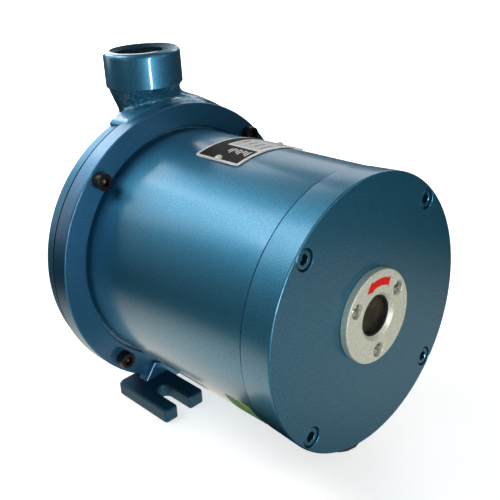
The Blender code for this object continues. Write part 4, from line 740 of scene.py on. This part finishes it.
def port_bore(name, centre, axis, out):
    """Return a cutter for a port's bore, with its widened mouth."""
    chamfer = MOUTH_RADIUS - THREAD_RADIUS
    lip = 0.5
    profile = [(0, -THREAD_LENGTH - chamfer), (THREAD_RADIUS, -THREAD_LENGTH - chamfer),
               (THREAD_RADIUS, -MOUTH_DEPTH), (MOUTH_RADIUS, -lip)]
    profile += [(MOUTH_RADIUS + lip - x, -y) for x, y in arc((0, 0), lip, 0, 90, 3)][1:]
    profile += [(MOUTH_RADIUS + lip, 2), (0, 2)]
    return turned(name, profile, centre, axis, out, 96)


def port_thread(name, centre, axis, out):
    """Make the ridges of the pipe thread as one helix along the bore."""
    turns, steps_a_turn, beyond_bore = 7, 64, 1.5
    root = THREAD_RADIUS + 0.25
    crest = THREAD_RADIUS - 0.825
    ridge = [(root, 0), (root, 0.9), (crest, 0.52), (crest, 0.38)]
    middle = spot(*centre)
    corners = [(out * radius + axis * (pitches * THREAD_PITCH - THREAD_LENGTH - beyond_bore)) * MM
               for radius, pitches in ridge]
    rings = []
    for index in range(turns * steps_a_turn + 1):
        share = index / steps_a_turn
        turn = Matrix.Rotation(math.tau * share, 4, axis)
        lift = axis * THREAD_PITCH * MM * share
        rings.append([middle + turn @ corner + lift for corner in corners])
    return lofted(name, rings)


SAND_SIZE = 3
SAND_HEIGHT = 0.5
RIM_BAND = 3.3


def cast_body():
    """Return the volute, neck and ledge as one body with a surface as sand leaves it."""
    body = weld(volute_body(), cast_neck(), cast_ledge())
    voxel = 1.15
    apply(body, "REMESH", mode="VOXEL", voxel_size=voxel * MM)
    apply(body, "SMOOTH", factor=0.5, iterations=6)
    clouds = bpy.data.textures.new("sand", "CLOUDS")
    clouds.noise_scale = SAND_SIZE * MM
    return apply(body, "DISPLACE", texture=clouds, strength=SAND_HEIGHT * MM, mid_level=0.5,
                 texture_coords="LOCAL")


def on_boss(across, along, height):
    """Say whether a face's middle lies on one of the ports' bosses."""
    return along > PORT_FACE - BOSS_LENGTH or height > OUTLET_HEIGHT - BOSS_LENGTH


def on_rim(across, along, height):
    """Say whether a face's middle lies on the turned rim."""
    off_rim = abs(math.hypot(across, height) - CASING_RIM_RADIUS)
    return along < CASING_RIM_END and off_rim < RIM_BAND


def in_port(across, along, height):
    """Say whether a face's middle lies inside a port."""
    off_axis = height if along > PORT_FACE - BOSS_LENGTH else along - OUTLET_AXIS
    return on_boss(across, along, height) and math.hypot(across, off_axis) < MOUTH_RADIUS


def make_casing():
    """Join the cast body, the turned rim and both ports, cut the ports and the eye, and paint all."""
    rim_profile = [(0, CASING_START), (CASING_RADIUS - 0.4, CASING_START),
                   (CASING_RADIUS, CASING_START + 0.4), (CASING_RIM_RADIUS + 0.5, CASING_RIM_END - 0.7),
                   (CASING_RIM_RADIUS - 0.6, CASING_RIM_END), (80, CASING_RIM_END + 0.3),
                   (0, CASING_RIM_END + 0.3)]
    body = cast_body()
    rim = turned("casing_rim", rim_profile, steps=192)
    outlet = (0, OUTLET_AXIS, OUTLET_HEIGHT)
    inlet = (0, PORT_FACE, 0)
    inlet_boss = boss("inlet_boss", inlet, ALONG, UP)
    inlet_root = turned("inlet_root", [(0, 190), (34, 190), (30, 195.5), (26.5, 198), (24, 202),
                                       (22.5, 206), (22.5, 210.5), (0, 210.5)], steps=96)
    weld(body, rim, boss("outlet_boss", outlet, UP, SIDE), inlet_root, inlet_boss)
    passage = prism("passage", 48, 13, 60, (0, OUTLET_AXIS, OUTLET_HEIGHT - 45), UP)
    eye = turned("eye", [(0, 158), (72, 158), (72, 173), (57, 176), (57, 180.5), (26, 180.5), (26, 187.8),
                         (19.6, 187.8), (14.5, 210), (14.5, 215), (0, 215)], steps=96)
    carve(body, port_bore("outlet_bore", outlet, UP, SIDE), passage,
          port_bore("inlet_bore", inlet, ALONG, UP), eye)
    fit(body, "casting", "blue_enamel", "pump_casing")
    paint_faces(body, "boss", on_boss)
    paint_faces(body, "rim", on_rim)
    # Painted shade: the faces inside the ports and both threads get the darker port enamel.
    paint_faces(body, "bore", in_port)
    fit(port_thread("outlet_thread", outlet, UP, SIDE), "bore", "blue_enamel")
    fit(port_thread("inlet_thread", inlet, ALONG, UP), "bore", "blue_enamel")


# Nameplate, rivets and label: lengths run along the shaft, angles round the housing
PLATE_INNER = HOUSING_RADIUS + 0.3
PLATE_TOP = PLATE_INNER + 0.6
PLATE_LOW, PLATE_HIGH = 72.4, 106.8
PLATE_FROM, PLATE_TO = 64, 106
PLATE_BORDER = 1.6
PLATE_HEADER = 8
BAND_FROM = 92
SKIN = 0.05


def bent_patch(name, low, high, first, last, inner, thickness, corner=0.0, steps=40):
    """Return a thin sheet bent round the housing, drawn flat and then wrapped."""
    width = math.radians(last - first) * inner
    flat = []
    for cx, cy, start in ((width - corner, high - corner, 0), (corner, high - corner, 90),
                          (corner, low + corner, 180), (width - corner, low + corner, 270)):
        flat += arc((cx, cy), corner, start, start + 90, 5) if corner else [(cx, cy)]
    outline = [(x, y, 0) for x, y in flat]
    sheet = drawn(name, outline, (0, 0, thickness))
    edit(sheet)
    for index in range(1, steps):
        bpy.ops.mesh.select_all(action="SELECT")
        bpy.ops.mesh.bisect(plane_co=spot(width * index / steps, 0, 0), plane_no=SIDE)
    bpy.ops.object.mode_set(mode="OBJECT")
    for vert in sheet.data.vertices:
        x = (vert.co.x - SHAFT_PLACE.x) / MM
        z = (vert.co.z - SHAFT_PLACE.z) / MM
        angle = first + math.degrees(x / inner)
        bent = on_circle(inner + z, angle, (vert.co.y - SHAFT_PLACE.y) / MM)
        vert.co = spot(*bent)
    edit(sheet)
    close_up()
    return settle(sheet)


def printed(name, finish_name, low, high, first, last, steps, inner=PLATE_TOP, corner=0.0):
    """Lay a thin printed patch on the nameplate, or on another patch."""
    patch = bent_patch(name, low, high, first, last, inner, SKIN, corner, steps)
    fit(patch, finish_name, "nameplate_aluminium")


def print_fields():
    """Print four rows of two grey fields, each with one plain line."""
    rows, gap, line_from, line_to = 4, 0.8, 2, 2.6
    lowest = PLATE_LOW + 2.4
    pitch = (PLATE_HIGH - PLATE_HEADER - gap - lowest) / rows
    for row in range(rows):
        low = lowest + row * pitch
        for column, (first, last) in enumerate(((68.5, 79), (80, 90.5))):
            number = 2 * row + column + 1
            printed(f"plate_field_{number}", "plate field", low, low + pitch - gap, first, last, 10)
            printed(f"plate_line_{number}", "ink", low + line_from, low + line_to, first + 1,
                    last - 2 - row, 8, PLATE_TOP + SKIN)


def print_bars():
    """Print a column of short plain bars on the dark band."""
    bars, pitch, thickness = 8, 2, 0.9
    for row in range(bars):
        low = PLATE_LOW + 3.6 + pitch * row
        printed(f"plate_bar_{row + 1}", "plate", low, low + thickness, BAND_FROM + 2 + 0.5 * (row % 2),
                98.6 - row % 3, 6, PLATE_TOP + SKIN)


def make_nameplate():
    """Make the bent plate with its plain dark band, header, fields and bars."""
    thickness = PLATE_TOP - PLATE_INNER
    plate = bent_patch("name_plate", PLATE_LOW, PLATE_HIGH, PLATE_FROM, PLATE_TO, PLATE_INNER, thickness, 2)
    fit(plate, "plate", "nameplate_aluminium", "nameplate")
    high = PLATE_HIGH - PLATE_BORDER
    printed("plate_band", "ink", PLATE_LOW + PLATE_BORDER, high, BAND_FROM, PLATE_TO - 1.3, 40, corner=1)
    printed("plate_header", "ink", PLATE_HIGH - PLATE_HEADER, high, PLATE_FROM + 3, BAND_FROM, 24)
    print_fields()
    print_bars()


def make_rivets():
    """Make the two domed rivets that hold the nameplate."""
    head, dome, pin, depth = 2.2, 1.3, 1.2, 4
    middle = (0, (PLATE_LOW + PLATE_HIGH) / 2, 0)
    profile = [(0, HOUSING_RADIUS - depth), (pin, HOUSING_RADIUS - depth), (pin, PLATE_TOP),
               (head, PLATE_TOP)]
    profile += [(head * math.cos(math.radians(angle)), PLATE_TOP + dome * math.sin(math.radians(angle)))
                for angle in (20, 40, 60, 75, 90)]
    for number, angle in enumerate((PLATE_TO - 2, PLATE_FROM + 2), 1):
        rivet = turned(f"plate_rivet_{number}", profile, middle, on_circle(1, angle), ALONG, 32)
        fit(rivet, "aluminium", "bare_aluminium", f"nameplate_rivet_{number}")


def make_label():
    """Make the thin blank sticker low on the housing's side."""
    low, high, first, last, thickness, corner = 25.8, 43.9, 207, 236, 0.12, 1.2
    label = bent_patch("round_label", low, high, first, last, HOUSING_RADIUS, thickness, corner)
    fit(label, "label", "nameplate_aluminium")


# Camera, lights and floor
def set_camera():
    """Stand the camera where the photograph's edges put it."""
    place = Vector((-0.29035, -0.32875, 0.28790))
    yaw, pitch, roll = 0.758, 0.3536, -0.0601
    forward = Vector((math.sin(yaw) * math.cos(pitch), math.cos(yaw) * math.cos(pitch), -math.sin(pitch)))
    level = Vector((math.cos(yaw), -math.sin(yaw), 0))
    upright = level.cross(forward)
    right = math.cos(roll) * level + math.sin(roll) * upright
    top = math.cos(roll) * upright - math.sin(roll) * level
    bpy.ops.object.camera_add(location=place)
    camera = bpy.context.object
    camera.matrix_world = Matrix.Translation(place) @ Matrix((right, top, -forward)).transposed().to_4x4()
    camera.data.lens = 55.46
    camera.data.shift_x = -0.0131
    camera.data.shift_y = -0.1125
    camera.data.clip_start = 0.01
    bpy.context.scene.camera = camera


def soft_box(name, aim, direction, distance, width, height, power):
    """Hang an area light in a direction from a place on the pump, facing it."""
    direction = Vector(direction).normalized()
    bpy.ops.object.light_add(type="AREA", location=aim + direction * distance)
    lamp = bpy.context.object
    lamp.name = name
    lamp.rotation_euler = direction.to_track_quat("Z", "Y").to_euler()
    lamp.data.shape = "RECTANGLE"
    lamp.data.size = width
    lamp.data.size_y = height
    lamp.data.energy = power


def stage_plane(name, half, place, colour, glow, glow_from, glow_to, base_glow=0.0, light=(1, 1, 1)):
    """Lay a sheet on the ground whose glow changes from its middle outwards."""
    bare()
    bpy.ops.mesh.primitive_plane_add(size=2 * half, location=place)
    sheet = bpy.context.object
    sheet.name = name
    finish = new_finish(name, colour, roughness=0.9, Specular_IOR_Level=0.0)
    tree = finish.node_tree
    where = tree.nodes.new("ShaderNodeTexCoord")
    far = tree.nodes.new("ShaderNodeVectorMath")
    far.operation = "LENGTH"
    span = tree.nodes.new("ShaderNodeMapRange")
    span.interpolation_type = "SMOOTHSTEP"
    span.inputs["From Min"].default_value = glow_from
    span.inputs["From Max"].default_value = glow_to
    span.inputs["To Min"].default_value = base_glow
    span.inputs["To Max"].default_value = glow
    tree.links.new(where.outputs["Object"], far.inputs[0])
    tree.links.new(far.outputs["Value"], span.inputs["Value"])
    surface = tree.nodes["Principled BSDF"]
    surface.inputs["Emission Color"].default_value = (*light, 1)
    tree.links.new(span.outputs["Result"], surface.inputs["Emission Strength"])
    sheet.data.materials.append(finish)
    return sheet


LAMP_DISTANCE = 1.5
LAMP_SIZE = 0.55
# Each soft box: its turn from +Y towards +X and its height in degrees, and its power in watts
LAMPS = {
    "key": (-50, 52, 6.2), "high_left": (-25, 52, 2.4), "back": (0, 30, 5.1), "back_left": (-25, 30, 1.4),
    "low_left": (-25, 8, 1.3), "back_right": (25, 30, 1.85), "low_right": (25, 8, 5.2),
    "right": (75, 30, 2.8), "high_right": (75, 52, 1.1), "side_right": (50, 20, 1.0),
    "left": (-90, 14, 1.3), "front_right": (150, 19, 1.2), "front_high": (180, 45, 1.35),
}
WARM_WHITE = (1, 0.89, 0.76)
BACKDROP_RADIUS = 7


def make_backdrop():
    """Put a pale dome round the floor, which only the camera sees."""
    bare()
    bpy.ops.mesh.primitive_uv_sphere_add(segments=48, ring_count=24, radius=BACKDROP_RADIUS,
                                         location=(0, 0, 0))
    dome = bpy.context.object
    dome.name = "backdrop"
    finish = new_finish("pale backdrop", (0, 0, 0), roughness=1.0, Specular_IOR_Level=0.0)
    surface = finish.node_tree.nodes["Principled BSDF"]
    surface.inputs["Emission Color"].default_value = (1, 1, 1, 1)
    surface.inputs["Emission Strength"].default_value = 0.95
    dome.data.materials.append(finish)
    dome.visible_diffuse = False
    dome.visible_glossy = False
    dome.visible_transmission = False
    dome.visible_shadow = False


def light_stage():
    """Lay the floor and the cards that only reflections see, and hang the soft boxes."""
    floor = stage_plane("floor", 6, (0, 0, 0), (0.9, 0.9, 0.9), 0.95, 0.2, 1.0, 0.62)
    floor.visible_glossy = False
    floor.visible_diffuse = False
    make_backdrop()
    card = stage_plane("bounce_card", 0.6, (-0.115, -0.02, -0.0015), (0, 0, 0), 0.0, 0.07, 0.28, 1.12,
                       WARM_WHITE)
    front_card = stage_plane("front_card", 0.2, (0.08, -0.235, -0.001), (0, 0, 0), 0.0, 0.07, 0.2, 0.44,
                             WARM_WHITE)
    for sheet in (card, front_card):
        sheet.visible_camera = False
        sheet.visible_diffuse = False
        sheet.visible_shadow = False
    motor_middle = spot(0, 100, 0)
    for name, (turn, height, power) in LAMPS.items():
        turn, height = math.radians(turn), math.radians(height)
        level = math.cos(height)
        direction = (math.sin(turn) * level, math.cos(turn) * level, math.sin(height))
        soft_box(name, motor_middle, direction, LAMP_DISTANCE, LAMP_SIZE, LAMP_SIZE, power)
    boss_front = spot(-10, 154, 112)
    soft_box("streak", boss_front, (-0.24, -0.95, 0.1), 1.3, 0.08, 0.3, 4.4)
    soft_box("low_streak", boss_front, (-0.28, -0.94, -0.15), 0.85, 0.05, 0.2, 2.1)
    world = bpy.data.worlds.new("room")
    bpy.context.scene.world = world
    world.use_nodes = True
    world.node_tree.nodes["Background"].inputs["Color"].default_value = (0.5, 0.5, 0.52, 1)
    world.node_tree.nodes["Background"].inputs["Strength"].default_value = 0.07
    bpy.context.scene.view_settings.view_transform = "Standard"


dress_nodes()
make_housing()
make_cover()
make_cover_screws()
make_flange_screws()
make_sight_ring()
make_sight_screws()
make_sight_glass()
make_arrow()
make_adapter()
make_gasket()
make_casing()
make_nameplate()
make_rivets()
make_label()
set_camera()
light_stage()

bare()
